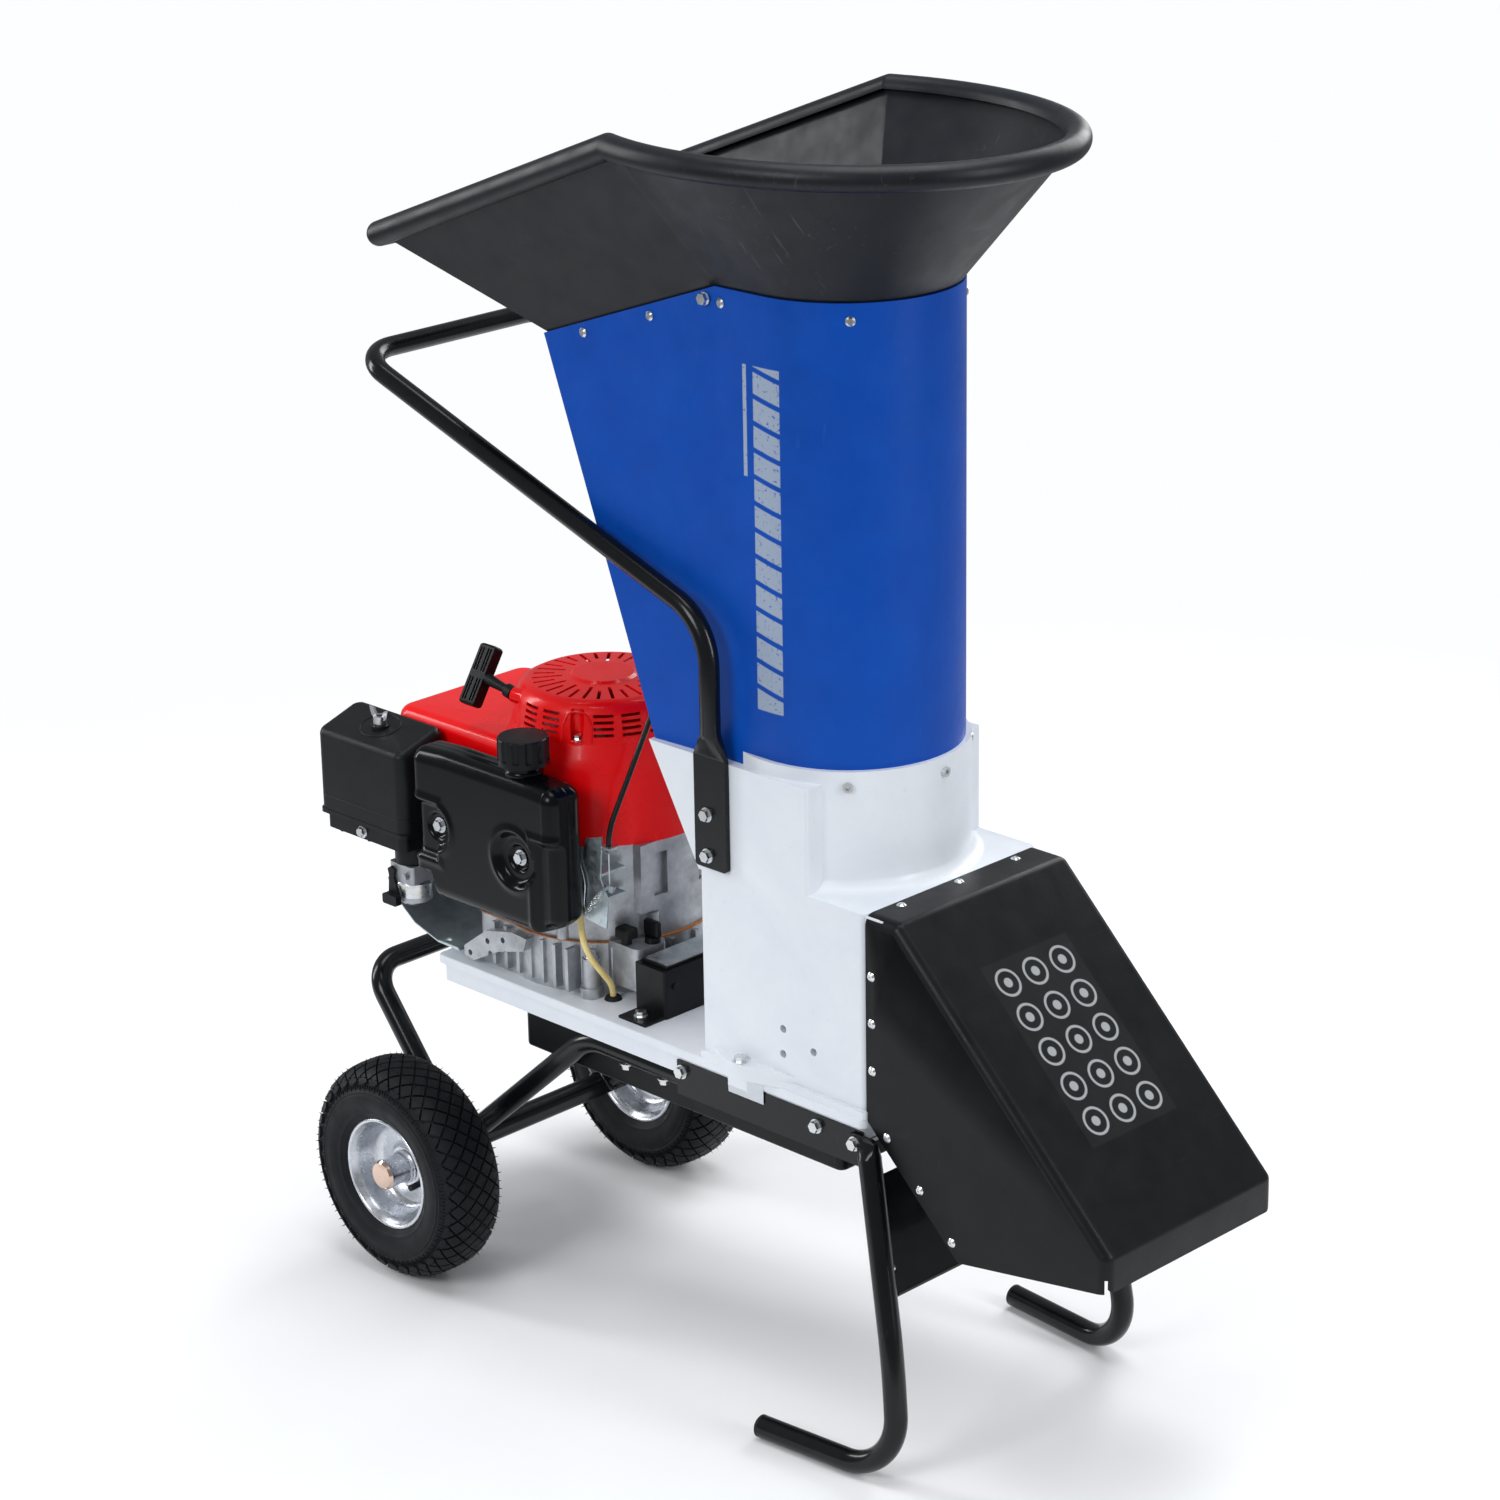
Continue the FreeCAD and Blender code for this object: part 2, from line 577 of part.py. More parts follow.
def rotor_housing():
    lower = round_edges(box(HOUSE_X0, HOUSE_X1, -HOUSE_Y, HOUSE_Y, DECK_TOP, SHELF_Z), 7, upright)
    upper = prism_y([(HOUSE_X0, 590), (COLLAR_X, 590), (COLLAR_X, HOUSE_TOP), (-167, HOUSE_TOP)],
                    -HOUSE_Y, HOUSE_Y)
    upper = round_edges(upper, 4, lambda m, d, e: m.x > COLLAR_X - 1 and abs(d.z) > 0.99)
    collar = rod(COLLAR_R, (0, 0, 590), (0, 0, COLLAR_TOP))
    cove_r = 16.0
    arc = Part.Arc(V(COLLAR_R - 0.5, 0, SHELF_Z + cove_r), V(COLLAR_R + cove_r * 0.28, 0, SHELF_Z + cove_r * 0.3),
                   V(COLLAR_R + cove_r, 0, SHELF_Z - 0.2)).toShape()
    corner = V(COLLAR_R - 0.5, 0, SHELF_Z - 0.2)
    cove = Part.Face(Part.Wire([Part.makeLine(corner, V(COLLAR_R - 0.5, 0, SHELF_Z + cove_r)), arc,
                                Part.makeLine(V(COLLAR_R + cove_r, 0, SHELF_Z - 0.2), corner)]))
    cove = cove.revolve(V(0, 0, 0), V(0, 0, 1), 360)
    cove = cove.common(box(0, HOUSE_X1, -HOUSE_Y, HOUSE_Y, 590, 640))
    flange = round_edges(box(HOUSE_X0, DECK_X1, -138, 138, DECK_TOP, DECK_TOP + 8), 5, upright)
    lip = box(HOUSE_X1 - 1, 166, -130.4, 130.4, 404, 600.4)
    lip = lip.cut(box(HOUSE_X1 - 2, 170, -124, 124, 396, 594))
    boss = rod(34.0, (ROTOR_X, 0, 345), (ROTOR_X, 0, 412))
    body = fuse([lower, upper, collar, cove, flange, lip, boss, housing_lug(), mirror(housing_lug())])

    chamber = rod(CHAMBER_R, (ROTOR_X, 0, 392), (ROTOR_X, 0, 560))
    socket = rod(CHUTE_R, (0, 0, 690), (0, 0, 740))
    passage = rod(PASSAGE_Y, (0, 0, 520), (0, 0, 700)).common(box(0, 200, -200, 200, 500, 740))
    rear = prism_y([(-160, HOUSE_TOP + 4), (0, HOUSE_TOP + 4), (0, 520), (-86, 520), (-86, 600)],
                   -PASSAGE_Y, PASSAGE_Y)
    mouth = box(60, 150, -100, 100, 404, 590)
    boss_keep = rod(34.0, (ROTOR_X, 0, 380), (ROTOR_X, 0, 412))
    keep = fuse([rod(CHAMBER_R + 8, (ROTOR_X, 0, 360), (ROTOR_X, 0, 520)), box(70, 150, -110, 110, 360, 520)])
    corners = fuse([box(-88, -50, -125, 125, 370, 508), box(80, 134, -125, 125, 370, 508)]).cut(keep)
    body = body.cut([chamber.cut(boss_keep), socket, passage, rear, mouth, corners])
    tools = []
    for z0, z1 in ((347.9, 363), (388, 420)):
        tools.append(rod(26.0, (ROTOR_X, 0, z0), (ROTOR_X, 0, z1)))
    tools.append(rod(20.0, (ROTOR_X, 0, 340), (ROTOR_X, 0, 420)))
    for x, z in SIDE_HOLES:
        tools.append(rod(4.5, (x, -150, z), (x, -117, z)))
    for x, z in STRAP_BOLTS:
        tools.append(rod(4.0, (x, -140, z), (x, -112, z)))
        tools.append(rod(4.0, (x, 112, z), (x, 140, z)))
    for x, z in HOOD_SIDE_RIVETS:
        tools.append(rod(2.1, (x, -140, z), (x, 140, z)))
    for y in HOOD_TOP_RIVETS:
        tools.append(rod(2.1, (153, y, 590), (153, y, 610)))
    for s in (-1, 1):
        tools.append(rod(4.0, (-28, s * 144.5, 368), (-28, s * 144.5, 400)))
    for a in COLLAR_SCREWS:
        x = math.cos(math.radians(a))
        y = math.sin(math.radians(a))
        tools.append(rod(3.0, (x * 110, y * 110, 716), (x * 140, y * 140, 716)))
    body = cut(body, tools)
    low = body.common(box(-300, 300, -200, 200, 300, SHELF_Z - 1))
    high = body.common(box(-300, 300, -200, 200, SHELF_Z - 1, 800))
    return group([low, high])


COLLAR_SCREWS = (-48.0, 3.0, 54.0)


# ---- feed chute -------------------------------------------------------------------------------
def chute_body(inset, low, high):
    """Round-fronted shaft whose flat sides spread slightly behind the crease."""
    r = CHUTE_R - inset
    back = HOUSE_Y - inset
    front = rod(r, (0, 0, low), (0, 0, high)).common(box(0, 200, -200, 200, low, high))
    flats = box(CREASE_X, 0.5, -r, r, low, high)
    x0, z0 = REAR_LOW
    x1, z1 = REAR_HIGH
    run = (x1 - x0) / (z1 - z0)
    z_low = HOUSE_TOP if inset == 0 else HOUSE_TOP - 3
    z_high = z1 + (0 if inset == 0 else 6)
    xa = x0 + run * (z_low - z0) + inset
    xb = x0 + run * (z_high - z0) + inset
    top = CHUTE_TOP + (0 if inset == 0 else 6)
    side = prism_y([(CREASE_X, z_low), (xa, z_low), (xb, z_high), (CREASE_X, top)], -160, 160)
    far = r + (back - r) * (CREASE_X + 340) / (CREASE_X - REAR_HIGH[0])
    plan = prism_z([(CREASE_X, -r), (-340, -far), (-340, far), (CREASE_X, r)], 700, 1300)
    return fuse([front, flats, side.common(plan)])


def feed_chute():
    outer = chute_body(0, HOUSE_TOP, CHUTE_TOP)
    skirt = ring(CHUTE_R, CHUTE_R - CHUTE_WALL, (0, 0, 694), (0, 0, HOUSE_TOP + 2))
    skirt = skirt.common(box(0, 200, -200, 200, 690, 730))
    inner = chute_body(CHUTE_WALL, HOUSE_TOP - 3, CHUTE_TOP + 8)
    mount = box(CLAMP_X - 8, -180, CLAMP_Y - 9, CLAMP_Y + 9, 783, 786)
    mount = mount.cut(rod(3.1, (CLAMP_X, CLAMP_Y, 770), (CLAMP_X, CLAMP_Y, 800)))
    body = fuse([outer, mount]).cut(inner)
    body = fuse([body, skirt])
    tools = [rod(2.1, at, inward) for at, inward in CHUTE_RIVET_LINES]
    for a in COLLAR_SCREWS:
        x = math.cos(math.radians(a))
        y = math.sin(math.radians(a))
        tools.append(rod(3.0, (x * 110, y * 110, 716), (x * 140, y * 140, 716)))
    for s in (-1, 1):
        tools.append(rod(4.0, (-80, s * 110, 1205), (-80, s * 140, 1205)))
    return cut(body, tools)


CHUTE_RIVETS = ((-253.0, 1143.0), (-158.0, 1175.0), (-60.0, 1203.0))
CHUTE_RIVET_LINES = []
for _s in (-1, 1):
    for _x, _z in CHUTE_RIVETS:
        CHUTE_RIVET_LINES.append(((_x, _s * 100, _z), (_x, _s * 150, _z)))
    CHUTE_RIVET_LINES.append(((70, _s * 70, 1201), (100, _s * 100, 1201)))


def chute_y(x):
    """Half width of the chute's outside at x, behind the rotor axis, near its top edge."""
    if x > CREASE_X:
        return CHUTE_R
    return CHUTE_R + (HOUSE_Y - CHUTE_R) * (CREASE_X - x) / (CREASE_X - REAR_HIGH[0])


# ---- hopper -----------------------------------------------------------------------------------
def hopper_body(inset, over):
    """Flared funnel: ruled front between the chute and the rim ellipse, straight sides, a rear ramp."""
    step = CHUTE_WALL + 0.2 + inset
    r = CHUTE_R - step
    z0 = CHUTE_TOP
    x0 = CREASE_X
    ky = KINK_Y - inset
    kx = KINK_X
    z1 = RIM_Z + over
    low = [Part.makeLine(V(x0, -r, z0), V(0, -r, z0)),
           Part.Arc(V(0, -r, z0), V(r, 0, z0), V(0, r, z0)).toShape(),
           Part.makeLine(V(0, r, z0), V(x0, r, z0)),
           Part.makeLine(V(x0, r, z0), V(x0, -r, z0))]
    rx = RIM_RX - inset
    ry = RIM_RY - inset
    ell = Part.Ellipse(V(RIM_CX, 0, z1), rx, ry)
    t = math.acos((kx - RIM_CX) / rx)
    ky = ry * math.sin(t)
    q = math.pi / 2
    top = [ell.toShape(-t, -q), ell.toShape(-q, q), ell.toShape(q, t),
           Part.makeLine(V(kx, ky, z1), V(kx, -ky, z1))]
    shell = Part.makeLoft([Part.Wire(low), Part.Wire(top)], True, True)
    bx, bz = REAR_HIGH
    rear_r = HOUSE_Y - step
    slope = (LIP_Z - RIM_Z) / (LIP_X - KINK_X)
    lip_x = LIP_X + inset * 0.5
    zl = RIM_Z + slope * (lip_x - KINK_X) + over
    back = bx + step
    low_z = bz + 1.2
    floor = [(x0 + 0.5, -r, z0), (back, -rear_r, low_z), (back, rear_r, low_z), (x0 + 0.5, r, z0)]
    roof = [(kx + 0.5, -ky, z1), (lip_x, -ky, zl), (lip_x, ky, zl), (kx + 0.5, ky, z1)]
    tail = Part.makeLoft([poly(floor), poly(roof)], True, True)
    return shell, tail


def rim_runs(r):
    """The rolled rim as separate sweeps: front ellipse, two sides and the rear lip."""
    ell = Part.Ellipse(V(RIM_CX, 0, RIM_Z), RIM_RX, RIM_RY)
    t = math.acos((KINK_X - RIM_CX) / RIM_RX)
    path = Part.Wire([ell.toShape(-t, t)])
    front = sweep(path, r)
    ky = RIM_RY * math.sin(t)
    corner_y = ky
    parts = [front]
    for s in (-1, 1):
        a = (KINK_X, s * ky, RIM_Z)
        b = (LIP_X, s * corner_y, LIP_Z)
        parts.append(rod(r, a, b))
        parts.append(Part.makeSphere(r, V(*a)))
        parts.append(Part.makeSphere(r, V(*b)))
    parts.append(rod(r, (LIP_X, -corner_y, LIP_Z), (LIP_X, corner_y, LIP_Z)))
    return parts


def hopper():
    wall = 4.0
    front, tail = hopper_body(0, 0)
    front_in, tail_in = hopper_body(wall, 1.0)
    rim = fuse(rim_runs(RIM_R))
    core = fuse(rim_runs(RIM_R - 3.0))
    step = CHUTE_WALL + 0.2
    bx, bz = REAR_HIGH
    fall = (CHUTE_TOP - bz) / (CREASE_X - bx)
    lift = 3.0
    band = prism_y([(150, CHUTE_TOP + lift), (CREASE_X, CHUTE_TOP + lift),
                    (-340, CHUTE_TOP + lift - fall * (CREASE_X + 340)),
                    (-340, CHUTE_TOP - 22 - fall * (CREASE_X + 340)), (CREASE_X, CHUTE_TOP - 22),
                    (150, CHUTE_TOP - 22)], -150, 150)
    skirt = chute_body(step, HOUSE_TOP, CHUTE_TOP).common(band)
    funnel = fuse([front, tail, skirt])
    hollow = fuse([front_in, tail_in, chute_body(step + wall, HOUSE_TOP, CHUTE_TOP)])
    rim = rim.cut(funnel)
    body = fuse([funnel.cut(hollow), rim.cut(core)])
    tools = [rod(2.1, a, b) for a, b in CHUTE_RIVET_LINES]
    for s in (-1, 1):
        tools.append(rod(4.0, (-80, s * 110, 1205), (-80, s * 140, 1205)))
    return cut(body, tools)


# ---- discharge hood -----------------------------------------------------------------------------
HOOD_PROFILE = ((144.3, 603.2), (187.0, 603.2), (468.0, 324.5), (468.0, 285.6), (271.0, 254.0),
                (144.3, 375.0))
HOOD_REAR_RIVETS = ((172.6, 363.0), (218.0, 318.5), (262.0, 274.0))


def inner_outline(points, t):
    """The outline moved inward by t (points run clockwise seen from -Y)."""
    n = len(points)
    out = []
    for i in range(n):
        ax, az = points[i - 1]
        bx, bz = points[i]
        cx, cz = points[(i + 1) % n]
        u = FreeCAD.Vector(bx - ax, 0, bz - az).normalize()
        w = FreeCAD.Vector(cx - bx, 0, cz - bz).normalize()
        nu = (u.z, -u.x)
        nw = (w.z, -w.x)
        k = t / (1 + nu[0] * nw[0] + nu[1] * nw[1])
        out.append((bx + (nu[0] + nw[0]) * k, bz + (nu[1] + nw[1]) * k))
    return out


def discharge_hood():
    outer = prism_y(HOOD_PROFILE, -HOOD_Y, HOOD_Y)

    def shoulder(m, d, e):
        on_side = abs(abs(m.y) - HOOD_Y) < 0.1 and abs(d.y) < 0.1
        return on_side and (m.z > 602.9 or (m.x > 190 and m.z > 340 and m.x + m.z > 700) or m.x > 467.9)

    def ridge(m, d, e):
        return abs(d.y) > 0.99 and (abs(m.x - 187) < 0.1 or (m.x > 467 and m.z > 320))

    outer = round_edges(outer, 12.0, lambda m, d, e: shoulder(m, d, e) or ridge(m, d, e))
    inner_pts = inner_outline(list(HOOD_PROFILE), HOOD_WALL)
    inner = prism_y(inner_pts, -HOOD_Y + HOOD_WALL, HOOD_Y - HOOD_WALL)
    ix = [p for p in inner_pts]

    def in_shoulder(m, d, e):
        on_side = abs(abs(m.y) - HOOD_Y + HOOD_WALL) < 0.1 and abs(d.y) < 0.1
        return on_side and (m.z > 600 or (m.x > 190 and m.z > 340 and m.x + m.z > 695) or m.x > 465)

    def in_ridge(m, d, e):
        return abs(d.y) > 0.99 and (abs(m.x - ix[1][0]) < 0.1 or (m.x > 465 and m.z > 318))

    inner = round_edges(inner, 9.5, lambda m, d, e: in_shoulder(m, d, e) or in_ridge(m, d, e))
    hood = outer.cut(inner)
    open_rear = prism_y([(130, 600.7), (160, 600.7), (160, 380), (130, 392)], -130.5, 130.5)
    open_low = prism_y([(140, 380), (271.2, 253.9), (468.2, 285.4), (463, 295), (272, 262), (152, 384)],
                       -130.5, 130.5)
    outlet = box(268, 465.5, -130.5, 130.5, 230, 300)
    hood = cut(hood, [open_rear, open_low, outlet])
    tools = []
    for x, z in HOOD_SIDE_RIVETS + HOOD_REAR_RIVETS:
        tools.append(rod(2.1, (x, -140, z), (x, 140, z)))
    for y in HOOD_TOP_RIVETS:
        tools.append(rod(2.1, (153, y, 595), (153, y, 610)))
    return cut(hood, tools)


def hood_rear_plate():
    """Sheet closing the chip channel under the housing, with a flange riveted inside each hood side."""
    plate = prism_y([(146.5, 375.0), (150.2, 375.0), (272.2, 257.0), (269.2, 257.0)], -130.3, 130.3)
    flange = prism_y([(146.5, 375.0), (164, 383), (284, 266.0), (270.8, 256.0)], 128.0, 130.3)
    body = fuse([plate] + both(flange))
    return cut(body, [rod(2.1, (x, -140, z), (x, 140, z)) for x, z in HOOD_REAR_RIVETS])


def pop_rivets():
    out = []
    for s in (-1, 1):
        for x, z in HOOD_SIDE_RIVETS + HOOD_REAR_RIVETS:
            out.append(rivet((x, s * HOOD_Y, z), (0, s, 0), 4.5))
        for x, z in CHUTE_RIVETS:
            out.append(rivet((x, s * (chute_y(x) + 0.3), z), (0, s, 0), 5.0))
        d = math.sqrt(0.5)
        out.append(rivet((CHUTE_R * d, s * CHUTE_R * d, 1201), (d, s * d, 0), 5.0))
    for y in HOOD_TOP_RIVETS:
        out.append(rivet((153, y, 603.2), (0, 0, 1), 5.0))
    return group(out)


# ---- push handle ------------------------------------------------------------------------------
HANDLE_Y = 145.0


def push_handle():
    """Loop of tube; each end is pressed flat into a strap bolted on the housing wall."""
    knee = (-62.0, HANDLE_Y, 872.0)
    corner = (-600.0, HANDLE_Y, 1064.5)
    foot = (-62.0, HANDLE_Y, 752.0)
    points = [foot, knee, corner]
    points += [(corner[0], -HANDLE_Y, corner[2]), (knee[0], -HANDLE_Y, knee[2]), (foot[0], -HANDLE_Y, foot[2])]
    tube = pipe(points, [68, 46, 46, 68], HANDLE_R, WALL)
    ends = []
    for s in (-1, 1):
        y0 = s * 133.3
        y1 = s * 139.3
        strap = box(-94, -48, min(y0, y1), max(y0, y1), 598, 722)
        strap = round_edges(strap, 4, lambda m, d, e: abs(d.y) > 0.99 and m.z < 600)
        flat = [(-94, y0, 722), (-48, y0, 722), (-48, y1, 722), (-94, y1, 722)]
        ends.append(strap)
        ends.append(flat_to_round(flat, (foot[0], s * HANDLE_Y, foot[2]), (0, 0, 1), HANDLE_R))
    body = fuse([tube] + ends)
    tools = []
    for x, z in STRAP_BOLTS:
        tools.append(rod(4.1, (x, -150, z), (x, 150, z)))
    return cut(body, tools)


def frame_bolts():
    """Zinc-plated flange bolts: rails, struts, legs, handle straps, housing lugs, collar, hopper."""
    out = []
    for s in (-1, 1):
        for x, z in RAIL_BOLTS:
            seat = 144.2 if x > 130 else 139.0
            out.append(bolt((x, s * seat, z), (0, s, 0), seat - 126))
        for x in STRUT_BOLTS:
            out.append(bolt((x, s * STRUT_Y, STRUT_Z - TUBE_R), (0, 0, -1), 34))
        for x, z in STRAP_BOLTS:
            out.append(bolt((x, s * 139.3, z), (0, s, 0), 20))
        out.append(bolt((-28, s * 144.5, 392), (0, 0, 1), 20))
        out.append(bolt((-80, s * (chute_y(-80) + 0.4), 1205), (0, s, 0), 9, 7.0))
    for a in COLLAR_SCREWS:
        x = math.cos(math.radians(a))
        y = math.sin(math.radians(a))
        screw = rod(5.5, (x * (COLLAR_R - 0.2), y * (COLLAR_R - 0.2), 716), (x * 130.5, y * 130.5, 716))
        screw = screw.cut(rod(COLLAR_R, (0, 0, 700), (0, 0, 730)))
        socket = hexagon(5, (x * 128.5, y * 128.5, 716), (x * 132, y * 132, 716))
        stem = rod(2.9, (x * 117, y * 117, 716), (x * 128.0, y * 128.0, 716))
        out.append(screw.fuse(stem).removeSplitter().cut(socket))
    return group(out)


# ---- wheels -----------------------------------------------------------------------------------
def tyre(s):
    """Carcass with a square shoulder, tread grooves and beads seated on the rim."""
    c = s * WHEEL_Y
    half = TYRE_W / 2
    outer = [(66, -28), (72, -36), (88, -41.5), (104, -half), (116, -39), (124, -31), (129, -16),
             (TYRE_R, 0), (129, 16), (124, 31), (116, 39), (104, half), (88, 41.5), (72, 36), (66, 28)]
    inner = [(66, 22), (76, 30), (92, 35), (106, 35), (115, 26), (118, 0),
             (115, -26), (106, -35), (92, -35), (76, -30), (66, -22)]
    body = revolve_y([(r, c + y) for r, y in outer + inner], AXLE_X, AXLE_Z)
    grooves = []
    for y in (-14, 14):
        grooves.append(revolve_y([(126, c + y - 2), (134, c + y - 2), (134, c + y + 2), (126, c + y + 2)],
                                 AXLE_X, AXLE_Z))
    return cut(body, grooves)


def wheel_rim(s):
    """Pressed two-half rim with a deep dish and a hub tube, the valve hole through the disc."""
    c = s * WHEEL_Y

    def turned(points):
        return revolve_y([(r, c + s * y) for r, y in points], AXLE_X, AXLE_Z)

    barrel = [(63.3, 35), (66.5, 33.5), (66, 27.6), (58.5, 26), (52, 12), (52, -12), (58.5, -26), (66, -27.6),
              (66.5, -33.5), (63.3, -35), (60.5, -33.5), (56, -27.5), (49.5, -13), (49.5, -3.2), (17, -3.2),
              (17, 3.2), (43, 3.2), (49.5, 10), (56, 27.5), (60.5, 33.5)]
    hub = [(17, -30), (17, 34.5), (14.4, 34.5), (14.4, -30)]
    body = fuse([turned(barrel), turned(hub)])
    holes = [rod(4.4, (AXLE_X + 38, c - 40, AXLE_Z - 6), (AXLE_X + 38, c + 40, AXLE_Z - 6))]
    for a in range(0, 360, 72):
        x = AXLE_X + 30 * math.cos(math.radians(a + 30))
        z = AXLE_Z + 30 * math.sin(math.radians(a + 30))
        holes.append(rod(2.5, (x, c - 10, z), (x, c + 10, z)))
    return cut(body, holes)


def wheel_hub(s):
    """Roller-bearing sleeve inside the hub tube with the domed cap that closes it."""
    c = s * WHEEL_Y

    def turned(points):
        return revolve_y([(r, c + s * y) for r, y in points], AXLE_X, AXLE_Z)

    sleeve = turned([(10.05, -30), (14.4, -30), (14.4, 34.5), (10.05, 34.5)])
    cap = turned([(0, 35.2), (10.05, 35.2), (10.05, 34.5), (14.4, 34.5), (17, 34.5), (17.8, 34.5), (17.8, 37),
                  (15, 40.5), (9, 41.8), (0, 42)])
    return fuse([sleeve, cap])


def valve_stem(s):
    c = s * WHEEL_Y
    a = (AXLE_X + 38, c - s * 8, AXLE_Z - 6)
    b = (AXLE_X + 38, c + s * 14, AXLE_Z - 6)
    d = (AXLE_X + 39.5, c + s * 31, AXLE_Z - 6)
    foot = rod(7.5, (a[0], a[1], a[2]), (a[0], c - s * 3.2, a[2]))
    stem = rod(4.4, (a[0], c - s * 3.3, a[2]), b)
    cap = rod(3.6, b, d)
    return fuse([foot, stem, cap])


# ---- engine -----------------------------------------------------------------------------------
SPLIT_Z = 436.0
BLOCK_TOP = 550.0


def crankcase():
    """Sump casting with ribs, mounting feet and the side adapter boss, under the gasket line."""
    sump = rod(122, (CRANK_X, 0, DECK_TOP), (CRANK_X, 0, SPLIT_Z))
    rear = round_edges(box(-474, -377, -118, 112, DECK_TOP, SPLIT_Z), 16, upright)
    filler = round_edges(box(-300, -242, -86, -40, DECK_TOP + 14, 440), 9, upright)
    filler = filler.cut(rod(123.2, (CRANK_X, 0, SPLIT_Z), (CRANK_X, 0, 445)))
    body = fuse([sump, rear, filler])
    ribs = []
    for x in range(-440, -318, 20):
        ribs.append(box(x, x + 5, -125, -60, DECK_TOP + 6, SPLIT_Z - 3))
    for a in (-42, -26, -10, 6, 22, 38, 54):
        rib = box(100, 127, -3, 3, DECK_TOP + 8, SPLIT_Z - 3)
        rib.rotate(V(0, 0, 0), V(0, 0, 1), a)
        rib.translate(V(CRANK_X, 0, 0))
        ribs.append(rib)
    feet = []
    for x, y in ENGINE_BOLTS:
        feet.append(rod(13, (x, y, DECK_TOP), (x, y, DECK_TOP + 12)))
        feet.append(rod(10, (x, y, DECK_TOP), (x, y, DECK_TOP + 46)))
    adapter = prism_y([(-478, 384), (-462, 382), (-420, 404), (-378, 416), (-372, 432), (-396, 434),
                       (-440, 424), (-478, 396)], -134, -116)
    body = fuse([body] + ribs + feet + [adapter])
    tools = [rod(15.06, (CRANK_X, 0, 370), (CRANK_X, 0, 440))]
    tools.append(rod(100, (CRANK_X, 0, DECK_TOP + 10), (CRANK_X, 0, SPLIT_Z + 1)))
    for x, y in ENGINE_BOLTS:
        tools.append(rod(4.1, (x, y, 370), (x, y, 440)))
    for x, z in ((-468, 390), (-438, 412), (-412, 420), (-434, 398), (-408, 405)):
        tools.append(rod(3.4, (x, -140, z), (x, -124, z)))
    tools.append(rod(6.0, (-268, -79, 428), (-268, -79, 445)))
    tools.append(rod(5.0, (-250, -56, 420), (-250, -56, 445)))
    return cut(body, tools)


def sump_gasket():
    plan = fuse([rod(122.8, (CRANK_X, 0, SPLIT_Z), (CRANK_X, 0, SPLIT_Z + 1.2)),
                 round_edges(box(-475, -377, -119, 113, SPLIT_Z, SPLIT_Z + 1.2), 16, upright)])
    return plan.cut(rod(100, (CRANK_X, 0, 430), (CRANK_X, 0, 440)))


def cylinder_block():
    """Upper crankcase with the finned cylinder lying to the rear and its head."""
    z0 = SPLIT_Z + 1.2
    case = rod(119, (CRANK_X, 0, z0), (CRANK_X, 0, BLOCK_TOP))
    rear = round_edges(box(-474, -377, -112, 108, z0, SPLIT_Z + 22), 14, upright)
    barrel = rod(48, (-590, 0, 510), (-440, 0, 510))
    fins = []
    for x in range(-572, -494, 11):
        fin = box(x, x + 3, -78, 78, 455, 566)
        fins.append(round_edges(fin, 14, lambda m, d, e: abs(d.x) > 0.99))
    head = round_edges(box(-604, -584, -74, 74, 456, 564), 10, lambda m, d, e: abs(d.x) > 0.99)
    face = box(-300, -262, -60, 70, 470, BLOCK_TOP)
    body = fuse([case, rear, barrel, head, face] + fins)
    bosses = []
    for a in (-150, -70, -20, 30, 80, 140):
        x = CRANK_X + 116 * math.cos(math.radians(a))
        y = 116 * math.sin(math.radians(a))
        bosses.append(rod(8, (x, y, z0), (x, y, z0 + 30)))
    stays = [rod(8, (-345, -122.5, 538), (-345, -100, 538)), rod(8, (-478, -122.5, 545), (-494, -70, 530))]
    body = fuse([body] + bosses + stays)
    for x, z in TANK_BOLTS:
        body = body.cut(rod(4.0, (x, -130, z), (x, -118, z)))
    tools = [rod(15.06, (CRANK_X, 0, 430), (CRANK_X, 0, 560)), rod(100, (CRANK_X, 0, z0 - 1), (CRANK_X, 0, 530))]
    tools.append(rod(44, (-583, 0, 510), (-440, 0, 510)))
    for i in range(3):
        tools.append(box(-266, -260, -40 + 34 * i, -16 + 34 * i, 486, 536))
    return cut(body, tools)


def valve_cover():
    cover = round_edges(box(-620, -604, -52, 52, 470, 552), 12, lambda m, d, e: abs(d.x) > 0.99)
    cover = round_edges(cover, 4, lambda m, d, e: m.x < -619)
    cover = cover.cut(round_edges(box(-616, -603.9, -48, 48, 474, 548), 9, lambda m, d, e: abs(d.x) > 0.99))
    plug = fuse([rod(7, (-604, 66, 540), (-622, 72, 546)), hexagon(20.8, (-604, 66, 540), (-611, 68.3, 542.3))])
    plug = plug.cut(box(-604, -580, 40, 90, 500, 580))
    return group([cover, plug])


